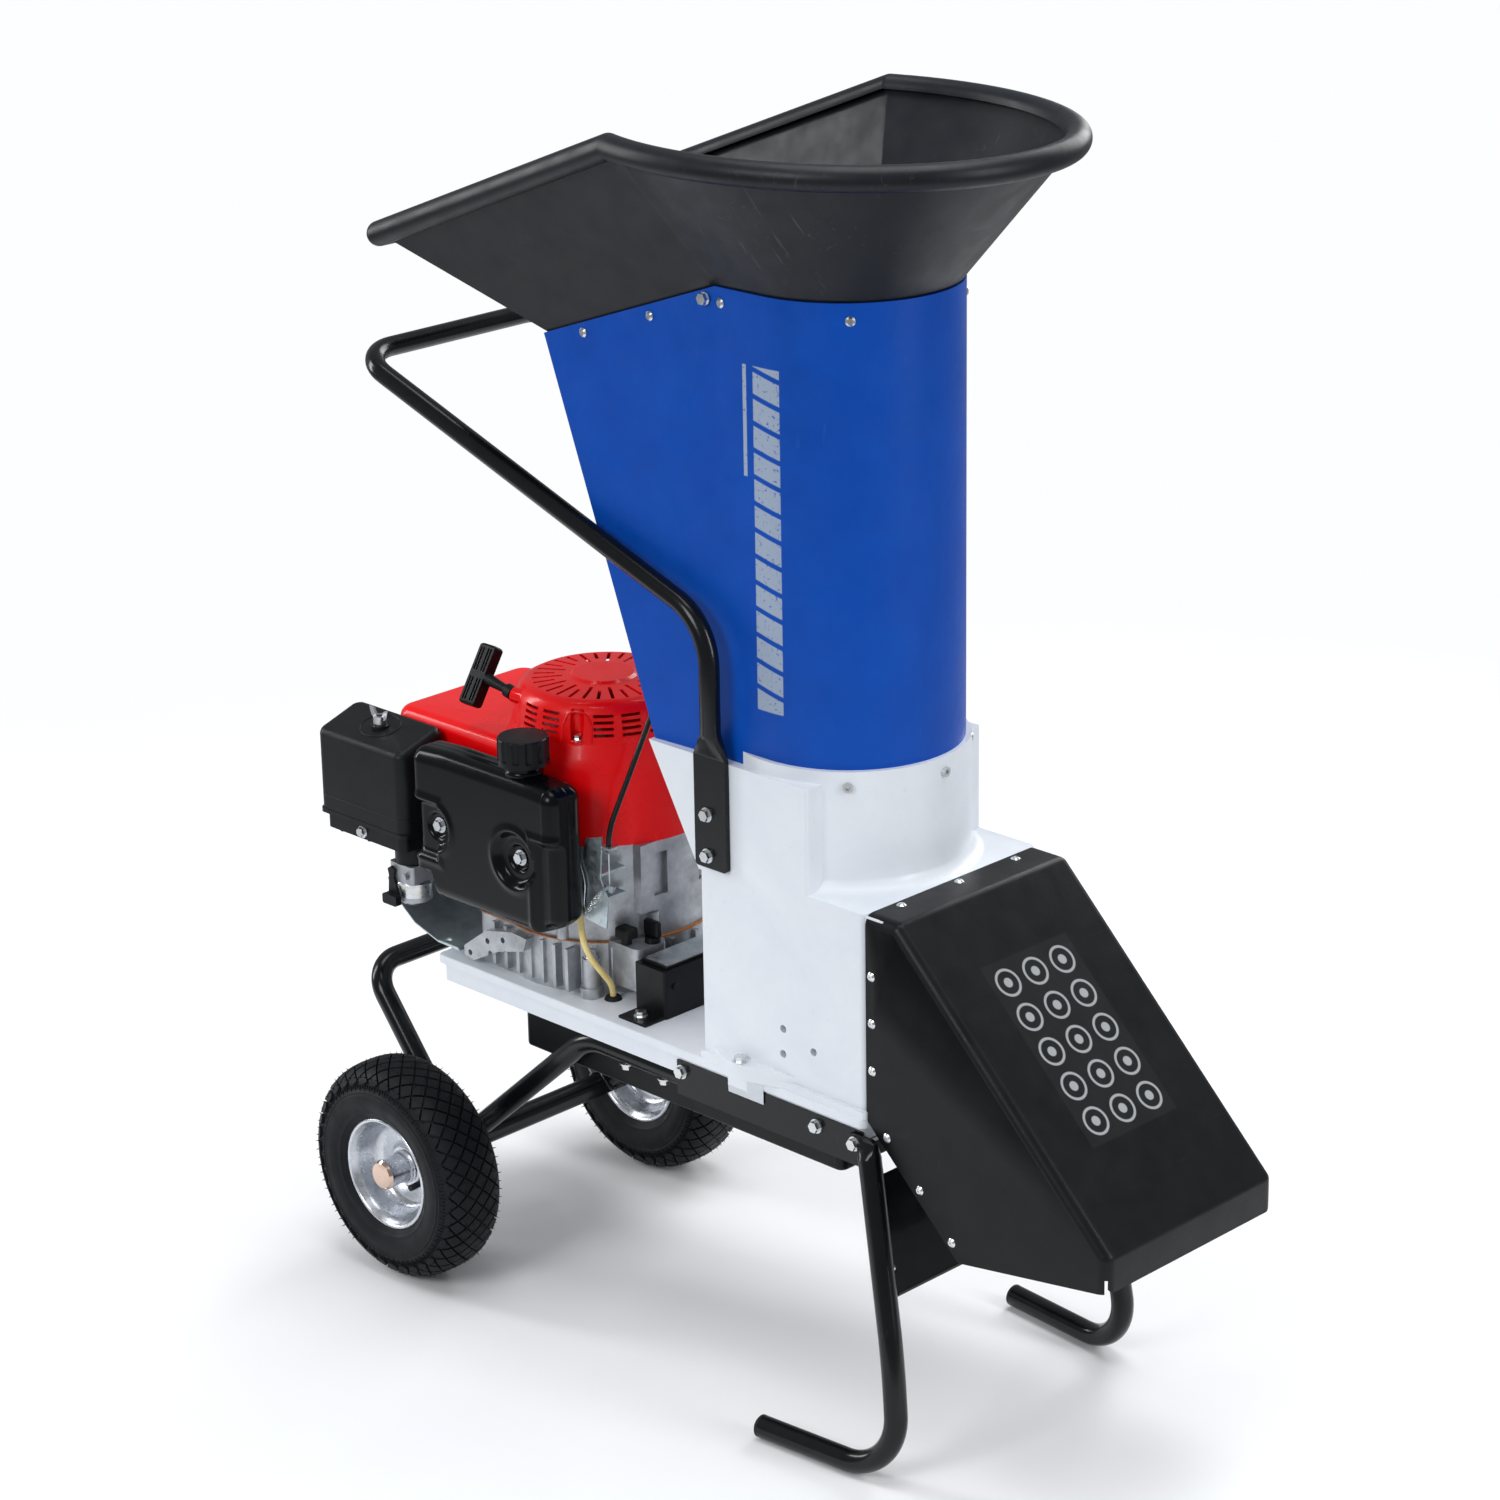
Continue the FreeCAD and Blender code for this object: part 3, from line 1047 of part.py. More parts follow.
def muffler():
    can = round_edges(box(-606, -500, 84, 152, 440, 540), 22, lambda m, d, e: abs(d.x) > 0.99)
    can = round_edges(can, 4, lambda m, d, e: m.x < -605 or m.x > -501)
    hollow = round_edges(box(-603, -503, 87, 149, 443, 537), 19, lambda m, d, e: abs(d.x) > 0.99)
    neck = ring(14, 11, (-590, 74.0, 500), (-590, 86.5, 500))
    spout = ring(13, 11, (-606, 118, 470), (-622, 118, 470))
    body = can.cut(hollow)
    body = cut(fuse([body, neck, spout]), [rod(11, (-590, 70, 500), (-590, 92, 500)),
                                          rod(11, (-630, 118, 470), (-598, 118, 470))])
    slots = [box(x, x + 5, 100, 136, 530, 545) for x in range(-590, -510, 14)]
    return cut(body, slots)


def heat_shield():
    """Bent zinc sheet that turns the exhaust heat away from the filter, tank and deck."""
    line = [(-604, 446), (-590, 424), (-560, 402), (-520, 390), (-484, 389), (-484, 387.5), (-521, 388.5),
            (-561, 400.5), (-591.5, 423), (-605.5, 445)]
    sheet = prism_y(line, -136, 78)
    tab = box(-520, -486, -136, -120, 389, 391)
    posts = [box(-498, -479, y, y + 16, DECK_TOP, 390) for y in (-100, 60)]
    body = fuse([sheet, tab] + posts)
    return cut(body, [rod(4, (-512, -128, 380), (-512, -128, 400))])


def crankshaft():
    shaft = rod(15.0, (CRANK_X, 0, 296), (CRANK_X, 0, 446))
    web = rod(40, (CRANK_X, 0, 446), (CRANK_X, 0, 460))
    pin = rod(15, (CRANK_X - 24, 0, 460), (CRANK_X - 24, 0, 500))
    web2 = rod(40, (CRANK_X, 0, 500), (CRANK_X, 0, 514))
    top = fuse([rod(15.0, (CRANK_X, 0, 514), (CRANK_X, 0, 592)), rod(9.0, (CRANK_X, 0, 592), (CRANK_X, 0, 616))])
    return fuse([shaft, web, pin, web2, top])


def flywheel_fan():
    """Flywheel with its ring of blades, keyed on the upper end of the crankshaft."""
    wheel = rod(92, (CRANK_X, 0, 572), (CRANK_X, 0, 592))
    wheel = wheel.cut(rod(78, (CRANK_X, 0, 570), (CRANK_X, 0, 580)))
    hub = rod(24, (CRANK_X, 0, 572), (CRANK_X, 0, 606))
    blades = []
    for i in range(16):
        b = box(58, 90, -1.5, 1.5, 591, 618)
        b.rotate(V(58, 0, 0), V(0, 0, 1), 24)
        b.rotate(V(0, 0, 0), V(0, 0, 1), i * 22.5)
        b.translate(V(CRANK_X, 0, 0))
        blades.append(b)
    nut = hexagon(24, (CRANK_X, 0, 606), (CRANK_X, 0, 619))
    body = fuse([wheel, hub, nut] + blades)
    return cut(body, [rod(15.0, (CRANK_X, 0, 560), (CRANK_X, 0, 592)), rod(9.0, (CRANK_X, 0, 590), (CRANK_X, 0, 616))])


SHROUD_TOP = 662.0


def shroud_outer(inset):
    r = 120 - inset
    drum = cone(r, r - 8, (CRANK_X, 0, BLOCK_TOP - (2 if inset else 0)), (CRANK_X, 0, 640 - inset))
    cap = cone(r - 8, 104 - inset, (CRANK_X, 0, 640 - inset), (CRANK_X, 0, SHROUD_TOP - inset))
    z0 = 560 if inset == 0 else 552
    tail = box(-628 + inset, CRANK_X, -98 + inset, 106 - inset, z0, 640 - inset)
    tail = round_edges(tail, 22 - inset, lambda m, d, e: m.x < -600 and abs(d.z) > 0.9)
    tail = round_edges(tail, 14 - inset, lambda m, d, e: m.z > 630)
    return fuse([drum, cap, tail])


def engine_shroud():
    """Pressed fan housing: a drum over the flywheel with a duct over the cylinder."""
    body = shroud_outer(0).cut(shroud_outer(2.0))
    rim = ring(104, 84, (CRANK_X, 0, SHROUD_TOP - 2), (CRANK_X, 0, SHROUD_TOP))
    body = fuse([body, rim])
    tools = [rod(84, (CRANK_X, 0, 640), (CRANK_X, 0, 670))]
    for a in RECOIL_BOLTS:
        x = CRANK_X + 98 * math.cos(math.radians(a))
        y = 98 * math.sin(math.radians(a))
        tools.append(rod(3.1, (x, y, 650), (x, y, 670)))
    return cut(body, tools)


RECOIL_BOLTS = (-61.0, 59.0, 179.0)


def recoil_cover():
    """Round starter cover: long and short radial slots on top, four-row slots round its side."""
    def profile(t):
        return [(0, 712 - t), (34, 712 - t), (38, 709.5 - t), (84, 707 - t), (92, 703 - t), (97 - t, 696),
                (104 - t, SHROUD_TOP), (0, SHROUD_TOP)]

    body = revolve_z(profile(0), CRANK_X, 0)
    hollow = revolve_z([(0, 709.6), (34, 709.6), (38, 707), (83, 704.6), (90, 701), (94.6, 695),
                        (101.6, SHROUD_TOP - 1), (0, SHROUD_TOP - 1)], CRANK_X, 0)
    body = body.cut(hollow)
    tools = []
    for i in range(30):
        r0, r1 = (46, 80) if i % 2 else (56, 80)
        s = box(r0, r1, -2.0, 2.0, 690, 720)
        s.rotate(V(0, 0, 0), V(0, 0, 1), i * 12)
        s.translate(V(CRANK_X, 0, 0))
        tools.append(s)
    clear = [a for a in range(-98, 226, 18) if min(abs(a - e) for e in RECOIL_BOLTS) > 10]
    for a in clear:
        for z in (670, 677, 684, 691):
            s = box(88, 112, -11, 11, z, z + 3.6)
            s.rotate(V(0, 0, 0), V(0, 0, 1), a)
            s.translate(V(CRANK_X, 0, 0))
            tools.append(s)
    body = cut(body, tools)
    ears = []
    for a in RECOIL_BOLTS:
        x = CRANK_X + 98 * math.cos(math.radians(a))
        y = 98 * math.sin(math.radians(a))
        ears.append(rod(9, (x, y, SHROUD_TOP), (x, y, SHROUD_TOP + 4)))
    guide = rod(9, (-404, -78, 690), (-436, -81, 692))
    guide = guide.cut(rod(88, (CRANK_X, 0, 640), (CRANK_X, 0, 700)))
    envelope = revolve_z(profile(0), CRANK_X, 0)
    walls = []
    for a in RECOIL_BOLTS:
        x = CRANK_X + 98 * math.cos(math.radians(a))
        y = 98 * math.sin(math.radians(a))
        walls.append(rod(11, (x, y, SHROUD_TOP), (x, y, 702)).common(envelope))
    body = fuse([body, guide] + ears + walls)
    tools = [rod(4.6, (-390, -78, 689), (-440, -81.4, 692.3)), rod(9.0, (-436.4, -81.1, 692.3), (-480, -77.5, 697))]
    for a in RECOIL_BOLTS:
        x = CRANK_X + 98 * math.cos(math.radians(a))
        y = 98 * math.sin(math.radians(a))
        tools.append(rod(3.1, (x, y, SHROUD_TOP - 1), (x, y, SHROUD_TOP + 6)))
        tools.append(rod(8, (x, y, SHROUD_TOP + 4), (x, y, 700)))
    return cut(body, tools)


def starter_handle():
    """T-grip on a tapered stem, with the short length of rope that runs into the guide."""
    grip = box(-509, -485, -7, 7, -36, 36)
    grip = round_edges(grip, 4, lambda m, d, e: abs(m.z) > 34)
    for s in (-1, 1):
        for x0, x1 in ((-506, -499.5), (-494.5, -488)):
            for z0, z1 in ((-31, -4), (4, 31)):
                slot = box(x0, x1, min(s * 5.6, s * 8), max(s * 5.6, s * 8), z0, z1)
                rail = box((x0 + x1) / 2 - 0.8, (x0 + x1) / 2 + 0.8, min(s * 5.6, s * 7), max(s * 5.6, s * 7), z0, z1)
                grip = grip.cut(slot.cut(rail))
    grip.rotate(V(-497, 0, 0), V(1, 0, 0), -32)
    grip.translate(V(0, -76, 699))
    neck = cone(7.0, 4.6, (-489, -76.6, 698.4), (-446, -80.5, 694))
    tip = rod(8.0, (-448, -80.3, 694.2), (-437.4, -81.3, 692.4))
    rope = rod(2.5, (-438, -81.2, 692.4), (-400, -78.6, 690))
    return fuse([grip, neck, tip, rope])


# ---- fuel, air and controls on the engine -------------------------------------------------------
TANK_BOLTS = ((-478.0, 549.0), (-345.0, 545.0))


def fuel_tank():
    """Blow-moulded tank hung on the engine's side, with two moulded bolt recesses."""
    profile = [(-516, 468), (-430, 463), (-296, 486), (-280, 500), (-280, 640), (-516, 630)]
    body = prism_y(profile, -174, -123)
    body = round_edges(body, 15, lambda m, d, e: abs(d.y) > 0.99)
    body = round_edges(body, 12, lambda m, d, e: abs(d.y) < 0.5)
    neck = rod(22, (-352, -146, 620), (-352, -146, 650))
    body = fuse([body, neck])
    tools = []
    for x, z in TANK_BOLTS:
        tools.append(cone(12, 19, (x, -160, z), (x, -175, z)))
        tools.append(rod(4.0, (x, -176, z), (x, -105, z)))
    hollow = prism_y([(-504, 478), (-430, 473), (-306, 496), (-292, 506), (-292, 622), (-504, 616)],
                     -156, -129)
    for x, z in TANK_BOLTS:
        hollow = hollow.cut(rod(9, (x, -180, z), (x, -100, z)))
    tools.append(hollow)
    tools.append(rod(18, (-352, -146, 600), (-352, -146, 660)))
    return cut(body, tools)


def fuel_cap():
    """Screw cap with a scalloped skirt."""
    cap = rod(28.5, (-352, -146, 650.4), (-352, -146, 681))
    cap = round_edges(cap, 2.5, lambda m, d, e: m.z > 680)
    stem = rod(17.7, (-352, -146, 636), (-352, -146, 652))
    tools = []
    for i in range(12):
        a = math.radians(i * 30)
        x = -352 + 31.5 * math.cos(a)
        y = -146 + 31.5 * math.sin(a)
        tools.append(rod(5.0, (x, y, 656), (x, y, 690)))
    return fuse([cap, stem]).cut(tools)


def air_filter_base():
    base = round_edges(box(-674, -538, -166, -104, 500, 518), 10, upright)
    base = base.cut(round_edges(box(-670, -542, -162, -108, 504, 519), 8, upright))
    post = rod(4.0, (-606, -135, 500), (-606, -135, 630))
    nuts = [bolt((x, -150, 500), (0, 0, -1), 0, 7.0) for x in (-660, -612)]
    elbow = ring(20, 16, (-560, -135, 504), (-560, -135, 478))
    floor = base.cut(rod(16, (-560, -135, 490), (-560, -135, 510)))
    return fuse([floor, elbow, post] + nuts)


def filter_element():
    body = ring(30, 18, (-606, -135, 518.3), (-606, -135, 606))
    tools = []
    for i in range(24):
        a = math.radians(i * 15)
        x = -606 + 30.5 * math.cos(a)
        y = -135 + 30.5 * math.sin(a)
        tools.append(rod(1.8, (x, y, 524), (x, y, 600)))
    lid = ring(31, 4.3, (-606, -135, 606), (-606, -135, 610))
    return fuse([body.cut(tools), lid])


def air_filter_cover():
    """Box-shaped cover, its top rising to the rear, closed on the base by a seam."""
    profile = [(-102, 518), (-170, 518), (-170, 618), (-102, 640)]
    outer = prism_x(profile, -680, -532)
    outer = round_edges(outer, 13, lambda m, d, e: abs(d.z) > 0.99)
    outer = round_edges(outer, 9, lambda m, d, e: m.z > 608)
    inner = round_edges(prism_x([(-105, 510), (-167, 510), (-167, 614.5), (-105, 635)], -677, -535), 6, upright)
    seam = round_edges(box(-680.0, -531.5, -170.6, -101.5, 518, 523), 9, upright)
    seam = seam.cut(round_edges(box(-677, -535, -167, -105, 510, 530), 6, upright))
    body = fuse([outer.cut(inner), seam])
    boss = rod(12, (-606, -135, 622), (-606, -135, 631.5))
    return fuse([body, boss]).cut(rod(4.3, (-606, -135, 600), (-606, -135, 640)))


def wing_nut():
    hub = ring(8, 4.05, (-606, -135, 631.8), (-606, -135, 641))
    wings = []
    for s in (-1, 1):
        w = prism_y([(-606 + s * 5, 634), (-606 + s * 13, 640), (-606 + s * 16, 650), (-606 + s * 9, 648),
                     (-606 + s * 5, 641)], -136.5, -133.5)
        wings.append(w)
    nut = fuse([hub] + wings).cut(rod(4.05, (-606, -135, 620), (-606, -135, 650)))
    nut.translate(V(0, 0, 0.35))
    return nut


def carburettor():
    """Cast body with its float bowl, flange pipe to the head, and control stubs."""
    body = box(-580, -540, -154, -108, 456, 478)
    body = round_edges(body, 5, upright)
    bowl = rod(20, (-560, -134, 432), (-560, -134, 458))
    nut = hexagon(11, (-560, -134, 426), (-560, -134, 432))
    pipe_in = rod(15, (-560, -108, 468), (-560, -74.0, 484))
    pipe_in = pipe_in.cut(box(-600, -500, -78.5, -40, 400, 560))
    stub = rod(4, (-548, -154, 467), (-548, -160, 467))
    out = fuse([body, bowl, nut, pipe_in, stub])
    return out.cut(rod(2.2, (-572, -160, 466), (-572, -140, 466)))


def choke_lever():
    """Lever on the carburettor's near side, turning on a pin along Y."""
    arm = prism_y([(-576, 462), (-568, 462), (-566, 470), (-572, 474), (-578, 470)], -158.0, -155.0)
    tail = prism_y([(-576, 462), (-568, 462), (-560, 438), (-568, 434), (-578, 440)], -158.0, -155.0)
    knob = round_edges(box(-580, -556, -166, -158, 430, 442), 2.5, lambda m, d, e: abs(d.y) > 0.9)
    pin = rod(2.15, (-572, -158, 466), (-572, -143, 466))
    return fuse([arm, tail, knob, pin])


def governor_bracket():
    """Zinc bracket on the block's near side: cable clamp above, lever and spring plate below."""
    plate = prism_y([(-292, 478), (-254, 474), (-250, 508), (-262, 530), (-258, 580), (-284, 572), (-290, 540)],
                    -121.5, -119.5)
    stand = fuse([box(-290, -270, -120, -76, 498, 501), box(-290, -270, -120, -76, 528, 531)])
    block = rod(119.02, (CRANK_X, 0, 430), (CRANK_X, 0, 560))
    stand = stand.cut(block)
    clamp = box(-262, -246, -121, -108, 566, 569)
    wire = rod(0.9, (-254, -115, 520), (-254, -115, 563))
    lever = prism_y([(-260, 516), (-248, 516), (-244, 524), (-262, 524)], -118, -114)
    link = rod(2.0, (-255, -124, 520), (-255, -113, 520))
    body = fuse([plate, stand, clamp, wire, lever, link])
    return body.cut(rod(3.1, (-254, -115, 560), (-254, -115, 575)))


CLAMP_X = -234.0         # cable clamp behind the chute
CLAMP_Y = -44.0


def throttle_cable():
    """Black sheathed cable from the governor bracket up to the clamp behind the chute."""
    points = [(-254, -115, 563), (-254, -115, 585), (CLAMP_X, CLAMP_Y, 745), (CLAMP_X, CLAMP_Y, 800)]
    return sweep(bend_path(points, [90, 90]), 3.1)


def fuel_hose():
    """Yellow tube from under the tank down through the deck grommet."""
    points = [(-300, -118, 486), (-290, -124, 440), (HOSE_X, HOSE_Y, 392), (HOSE_X, HOSE_Y, 345)]
    return sweep(bend_path(points, [70, 34]), 3.6)


def oil_dipstick():
    """Filler cap with an oval grip; its stick runs down into the sump."""
    grip = round_edges(box(-262, -238, -60, -52, 446, 466), 3.5, lambda m, d, e: True)
    collar = rod(9, (-250, -56, 440.3), (-250, -56, 447))
    stick = rod(4.9, (-250, -56, 422), (-250, -56, 441))
    return fuse([grip, collar, stick])


def control_box():
    """Folded black cover over the ignition unit, on a bolted tab, with a bright lid plate."""
    case = round_edges(box(-238, -190, -97, 16, DECK_TOP, 432), 4, upright)
    case = case.cut(box(-236, -192, -95, 14, DECK_TOP - 1, 430))
    tab = box(-234, -192, -126, -96, DECK_TOP, DECK_TOP + 3)
    lid = round_edges(box(-234, -194, -90, 10, 432, 435), 2, upright)
    screws = [rod(3.5, (-190, y, 412), (-188, y, 412)) for y in (-82, -4)]
    slots = [box(-239, -235, -88 + 20 * i, -76 + 20 * i, 392, 400) for i in range(4)]
    return cut(fuse([case, tab, lid] + screws), [rod(4.1, (-213, -112, 370), (-213, -112, 385))] + slots)


def engine_bolts():
    """Engine feet, tank, starter-cover, control-box and shield bolts."""
    out = []
    for x, y in ENGINE_BOLTS:
        out.append(bolt((x, y, DECK_TOP + 46), (0, 0, 1), 56))
    for x, z in TANK_BOLTS:
        out.append(bolt((x, -160, z), (0, -1, 0), 36, 9.0))
    for a in RECOIL_BOLTS:
        x = CRANK_X + 98 * math.cos(math.radians(a))
        y = 98 * math.sin(math.radians(a))
        head = fuse([rod(7, (x, y, SHROUD_TOP + 4), (x, y, SHROUD_TOP + 5.2)),
                     hexagon(8, (x, y, SHROUD_TOP + 5.2), (x, y, SHROUD_TOP + 9.5))])
        out.append(head.fuse(rod(3.0, (x, y, SHROUD_TOP - 5), (x, y, SHROUD_TOP + 4))).removeSplitter())
    out.append(bolt((-213, -112, DECK_TOP + 3), (0, 0, 1), 2.8))
    return group(out)


# ---- write every piece ----------------------------------------------------------------------
LET_IN = (
    ("filter_element", ("air_filter_cover",)),
    ("belt_guard", ("fuel_hose", "rubber_plugs")),
    ("crankcase", ("engine_bolts", "rubber_plugs")),
    ("heat_shield", ("crankcase", "engine_bolts")),
    ("cylinder_block", ("engine_shroud", "fuel_tank")),
    ("engine_deck", ("discharge_hood",)),
    ("rotor_housing", ("discharge_hood", "feed_chute")),
    ("front_leg_left", ("frame_bolts",)),
    ("front_leg_right", ("frame_bolts",)),
    ("side_rail_left", ("front_leg_left",)),
    ("side_rail_right", ("front_leg_right",)),
)


def let_in(shape, tools):
    """The shape with its neighbours cut out of it, without loose slivers."""
    rest = cut(shape, tools)
    return group([s for s in rest.Solids if s.Volume > 0.02 * rest.Volume])


def frame_pieces():
    rail = side_rail()
    leg = front_leg()
    return {
        "side_rail_left": rail,
        "side_rail_right": mirror(rail),
        "wheel_frame": wheel_frame(),
        "axle_rod": axle_rod(),
        "front_leg_left": leg,
        "front_leg_right": mirror(leg),
        "leg_brace_plate": leg_brace(),
        "rubber_plugs": rubber_plugs(),
        "push_handle": push_handle(),
        "frame_bolts": frame_bolts(),
        "pop_rivets": pop_rivets(),
    }


def shredder_pieces():
    return {
        "engine_deck": engine_deck(),
        "belt_guard": belt_guard(),
        "drive_belts": drive_belts(),
        "engine_pulley": pulley(CRANK_X, ENGINE_PULLEY_R, 15.0, 22),
        "rotor_pulley": pulley(ROTOR_X, ROTOR_PULLEY_R, SHAFT_R, 24),
        "rotor_shaft": at_rotor(rotor_shaft()),
        "rotor_disc": at_rotor(rotor_disc()),
        "rotor_knives": at_rotor(rotor_knives()),
        "knife_screws": at_rotor(knife_screws()),
        "rotor_bearings": at_rotor(rotor_bearings()),
        "counter_knife": counter_knife(),
        "rotor_housing": rotor_housing(),
        "feed_chute": feed_chute(),
        "hopper": hopper(),
        "discharge_hood": discharge_hood(),
        "hood_rear_plate": hood_rear_plate(),
    }


def wheel_pieces():
    made = {}
    for side, s in (("left", 1), ("right", -1)):
        made["tyre_" + side] = tyre(s)
        made["wheel_rim_" + side] = wheel_rim(s)
        made["wheel_hub_" + side] = wheel_hub(s)
        made["valve_" + side] = valve_stem(s)
    return made


def engine_pieces():
    return {
        "crankcase": crankcase(),
        "sump_gasket": sump_gasket(),
        "cylinder_block": cylinder_block(),
        "valve_cover": valve_cover(),
        "muffler": muffler(),
        "heat_shield": heat_shield(),
        "crankshaft": crankshaft(),
        "flywheel_fan": flywheel_fan(),
        "engine_shroud": engine_shroud(),
        "recoil_cover": recoil_cover(),
        "starter_handle": starter_handle(),
        "fuel_tank": fuel_tank(),
        "fuel_cap": fuel_cap(),
        "air_filter_base": air_filter_base(),
        "filter_element": filter_element(),
        "air_filter_cover": air_filter_cover(),
        "wing_nut": wing_nut(),
        "carburettor": carburettor(),
        "choke_lever": choke_lever(),
        "governor_bracket": governor_bracket(),
        "throttle_cable": throttle_cable(),
        "fuel_hose": fuel_hose(),
        "oil_dipstick": oil_dipstick(),
        "control_box": control_box(),
        "engine_bolts": engine_bolts(),
    }


def main():
    os.makedirs("parts", exist_ok=True)
    pieces = {}
    for made in (frame_pieces(), shredder_pieces(), wheel_pieces(), engine_pieces()):
        pieces.update(made)
    for name, neighbours in LET_IN:
        pieces[name] = let_in(pieces[name], [pieces[n] for n in neighbours])
    for name, shape in pieces.items():
        save(name, shape)


main()
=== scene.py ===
import math
import random

import bpy
import numpy as np
from mathutils import Matrix, Vector


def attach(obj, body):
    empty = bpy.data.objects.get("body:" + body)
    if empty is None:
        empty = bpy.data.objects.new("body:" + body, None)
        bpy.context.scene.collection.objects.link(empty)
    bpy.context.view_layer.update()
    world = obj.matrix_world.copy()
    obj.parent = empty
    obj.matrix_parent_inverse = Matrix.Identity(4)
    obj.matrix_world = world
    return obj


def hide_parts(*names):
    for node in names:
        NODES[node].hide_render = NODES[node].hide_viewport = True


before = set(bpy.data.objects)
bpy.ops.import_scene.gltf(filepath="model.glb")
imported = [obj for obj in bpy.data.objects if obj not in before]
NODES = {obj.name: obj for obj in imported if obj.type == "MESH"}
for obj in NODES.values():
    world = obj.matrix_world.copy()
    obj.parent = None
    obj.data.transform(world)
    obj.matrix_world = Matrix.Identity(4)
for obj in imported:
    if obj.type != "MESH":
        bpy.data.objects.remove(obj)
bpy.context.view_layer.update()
random.seed(7)
TAU = 2 * math.pi


# ------------------------------------------------------------------ shader helpers
class Shade:
    """One node material: the calls add nodes and return their outputs."""

    def __init__(self, name, base=(0.5, 0.5, 0.5), rough=0.5, metal=0.0, coat=0.0, coat_rough=0.08,
                 spec=0.5, ior=1.5, sheen=0.0):
        self.mat = bpy.data.materials.new(name)
        self.mat.use_nodes = True
        self.tree = self.mat.node_tree
        self.bsdf = self.tree.nodes["Principled BSDF"]
        self.set("Base Color", base + (1.0,))
        self.set("Roughness", rough)
        self.set("Metallic", metal)
        self.set("Coat Weight", coat)
        self.set("Coat Roughness", coat_rough)
        self.set("Specular IOR Level", spec)
        self.set("IOR", ior)
        if sheen:
            self.set("Sheen Weight", sheen)
        self.obj = self.tree.nodes.new("ShaderNodeTexCoord").outputs["Object"]
        self.normal = None

    def set(self, socket, value):
        self.bsdf.inputs[socket].default_value = value

    def plug(self, socket, out):
        self.tree.links.new(out, self.bsdf.inputs[socket])

    def wire(self, node, key, value):
        sock = node.inputs[key]
        if isinstance(value, bpy.types.NodeSocket):
            self.tree.links.new(value, sock)
        elif value is not None:
            sock.default_value = value

    def math(self, op, a, b=0.0, c=None, clamp=False):
        n = self.tree.nodes.new("ShaderNodeMath")
        n.operation = op
        n.use_clamp = clamp
        self.wire(n, 0, a)
        self.wire(n, 1, b)
        if c is not None:
            self.wire(n, 2, c)
        return n.outputs[0]

    def xyz(self, vec=None):
        n = self.tree.nodes.new("ShaderNodeSeparateXYZ")
        self.wire(n, 0, vec or self.obj)
        return n.outputs[0], n.outputs[1], n.outputs[2]

    def scaled(self, sx, sy, sz, rot=(0, 0, 0), loc=(0, 0, 0)):
        n = self.tree.nodes.new("ShaderNodeMapping")
        self.wire(n, "Vector", self.obj)
        n.inputs["Scale"].default_value = (sx, sy, sz)
        n.inputs["Rotation"].default_value = rot
        n.inputs["Location"].default_value = loc
        return n.outputs[0]

    def noise(self, scale, detail=2.0, rough=0.5, warp=0.0, vec=None):
        n = self.tree.nodes.new("ShaderNodeTexNoise")
        self.wire(n, "Vector", vec or self.obj)
        n.inputs["Scale"].default_value = scale
        n.inputs["Detail"].default_value = detail
        n.inputs["Roughness"].default_value = rough
        n.inputs["Distortion"].default_value = warp
        return n.outputs[0]

    def cells(self, scale, feature="F1", vec=None, out="Distance"):
        n = self.tree.nodes.new("ShaderNodeTexVoronoi")
        n.feature = feature
        self.wire(n, "Vector", vec or self.obj)
        n.inputs["Scale"].default_value = scale
        return n.outputs[out]

    def wave(self, scale, axis="X", warp=0.0, vec=None, profile="SIN"):
        n = self.tree.nodes.new("ShaderNodeTexWave")
        n.bands_direction = axis
        n.wave_profile = profile
        self.wire(n, "Vector", vec or self.obj)
        n.inputs["Scale"].default_value = scale
        n.inputs["Distortion"].default_value = warp
        return n.outputs["Fac"]

    def span(self, x, a, b, lo=0.0, hi=1.0):
        n = self.tree.nodes.new("ShaderNodeMapRange")
        n.clamp = True
        self.wire(n, 0, x)
        n.inputs[1].default_value = a
        n.inputs[2].default_value = b
        n.inputs[3].default_value = lo
        n.inputs[4].default_value = hi
        return n.outputs[0]

    def mix(self, fac, a, b):
        n = self.tree.nodes.new("ShaderNodeMix")
        n.data_type = "RGBA"
        self.wire(n, 0, fac)
        for k, v in ((6, a), (7, b)):
            self.wire(n, k, v if isinstance(v, bpy.types.NodeSocket) else tuple(v) + (1.0,))
        return n.outputs[2]

    def bump(self, height, strength, distance=0.001):
        n = self.tree.nodes.new("ShaderNodeBump")
        n.inputs["Strength"].default_value = strength
        n.inputs["Distance"].default_value = distance
        self.wire(n, "Height", height)
        if self.normal is not None:
            self.tree.links.new(self.normal, n.inputs["Normal"])
        self.normal = n.outputs[0]
        self.tree.links.new(self.normal, self.bsdf.inputs["Normal"])

    def inside(self, x, lo, hi, soft=0.0006):
        a = self.span(x, lo - soft, lo + soft)
        b = self.span(x, hi - soft, hi + soft, 1.0, 0.0)
        return self.math("MULTIPLY", a, b)


def grime(s, colour, dirt, amount=0.35, low=None):
    """Dust and handling marks over a colour, thicker near the ground when low is given."""
    big = s.span(s.noise(7, 6, 0.62, 0.6), 0.48, 0.78, 0.0, amount)
    if low is not None:
        z = s.xyz()[2]
        near = s.span(z, low[0], low[1], 1.0, 0.0)
        dust = s.math("MULTIPLY", near, s.span(s.noise(40, 5), 0.35, 0.7, 0.0, 0.5))
        big = s.math("ADD", big, dust, clamp=True)
    return s.mix(big, colour, dirt)


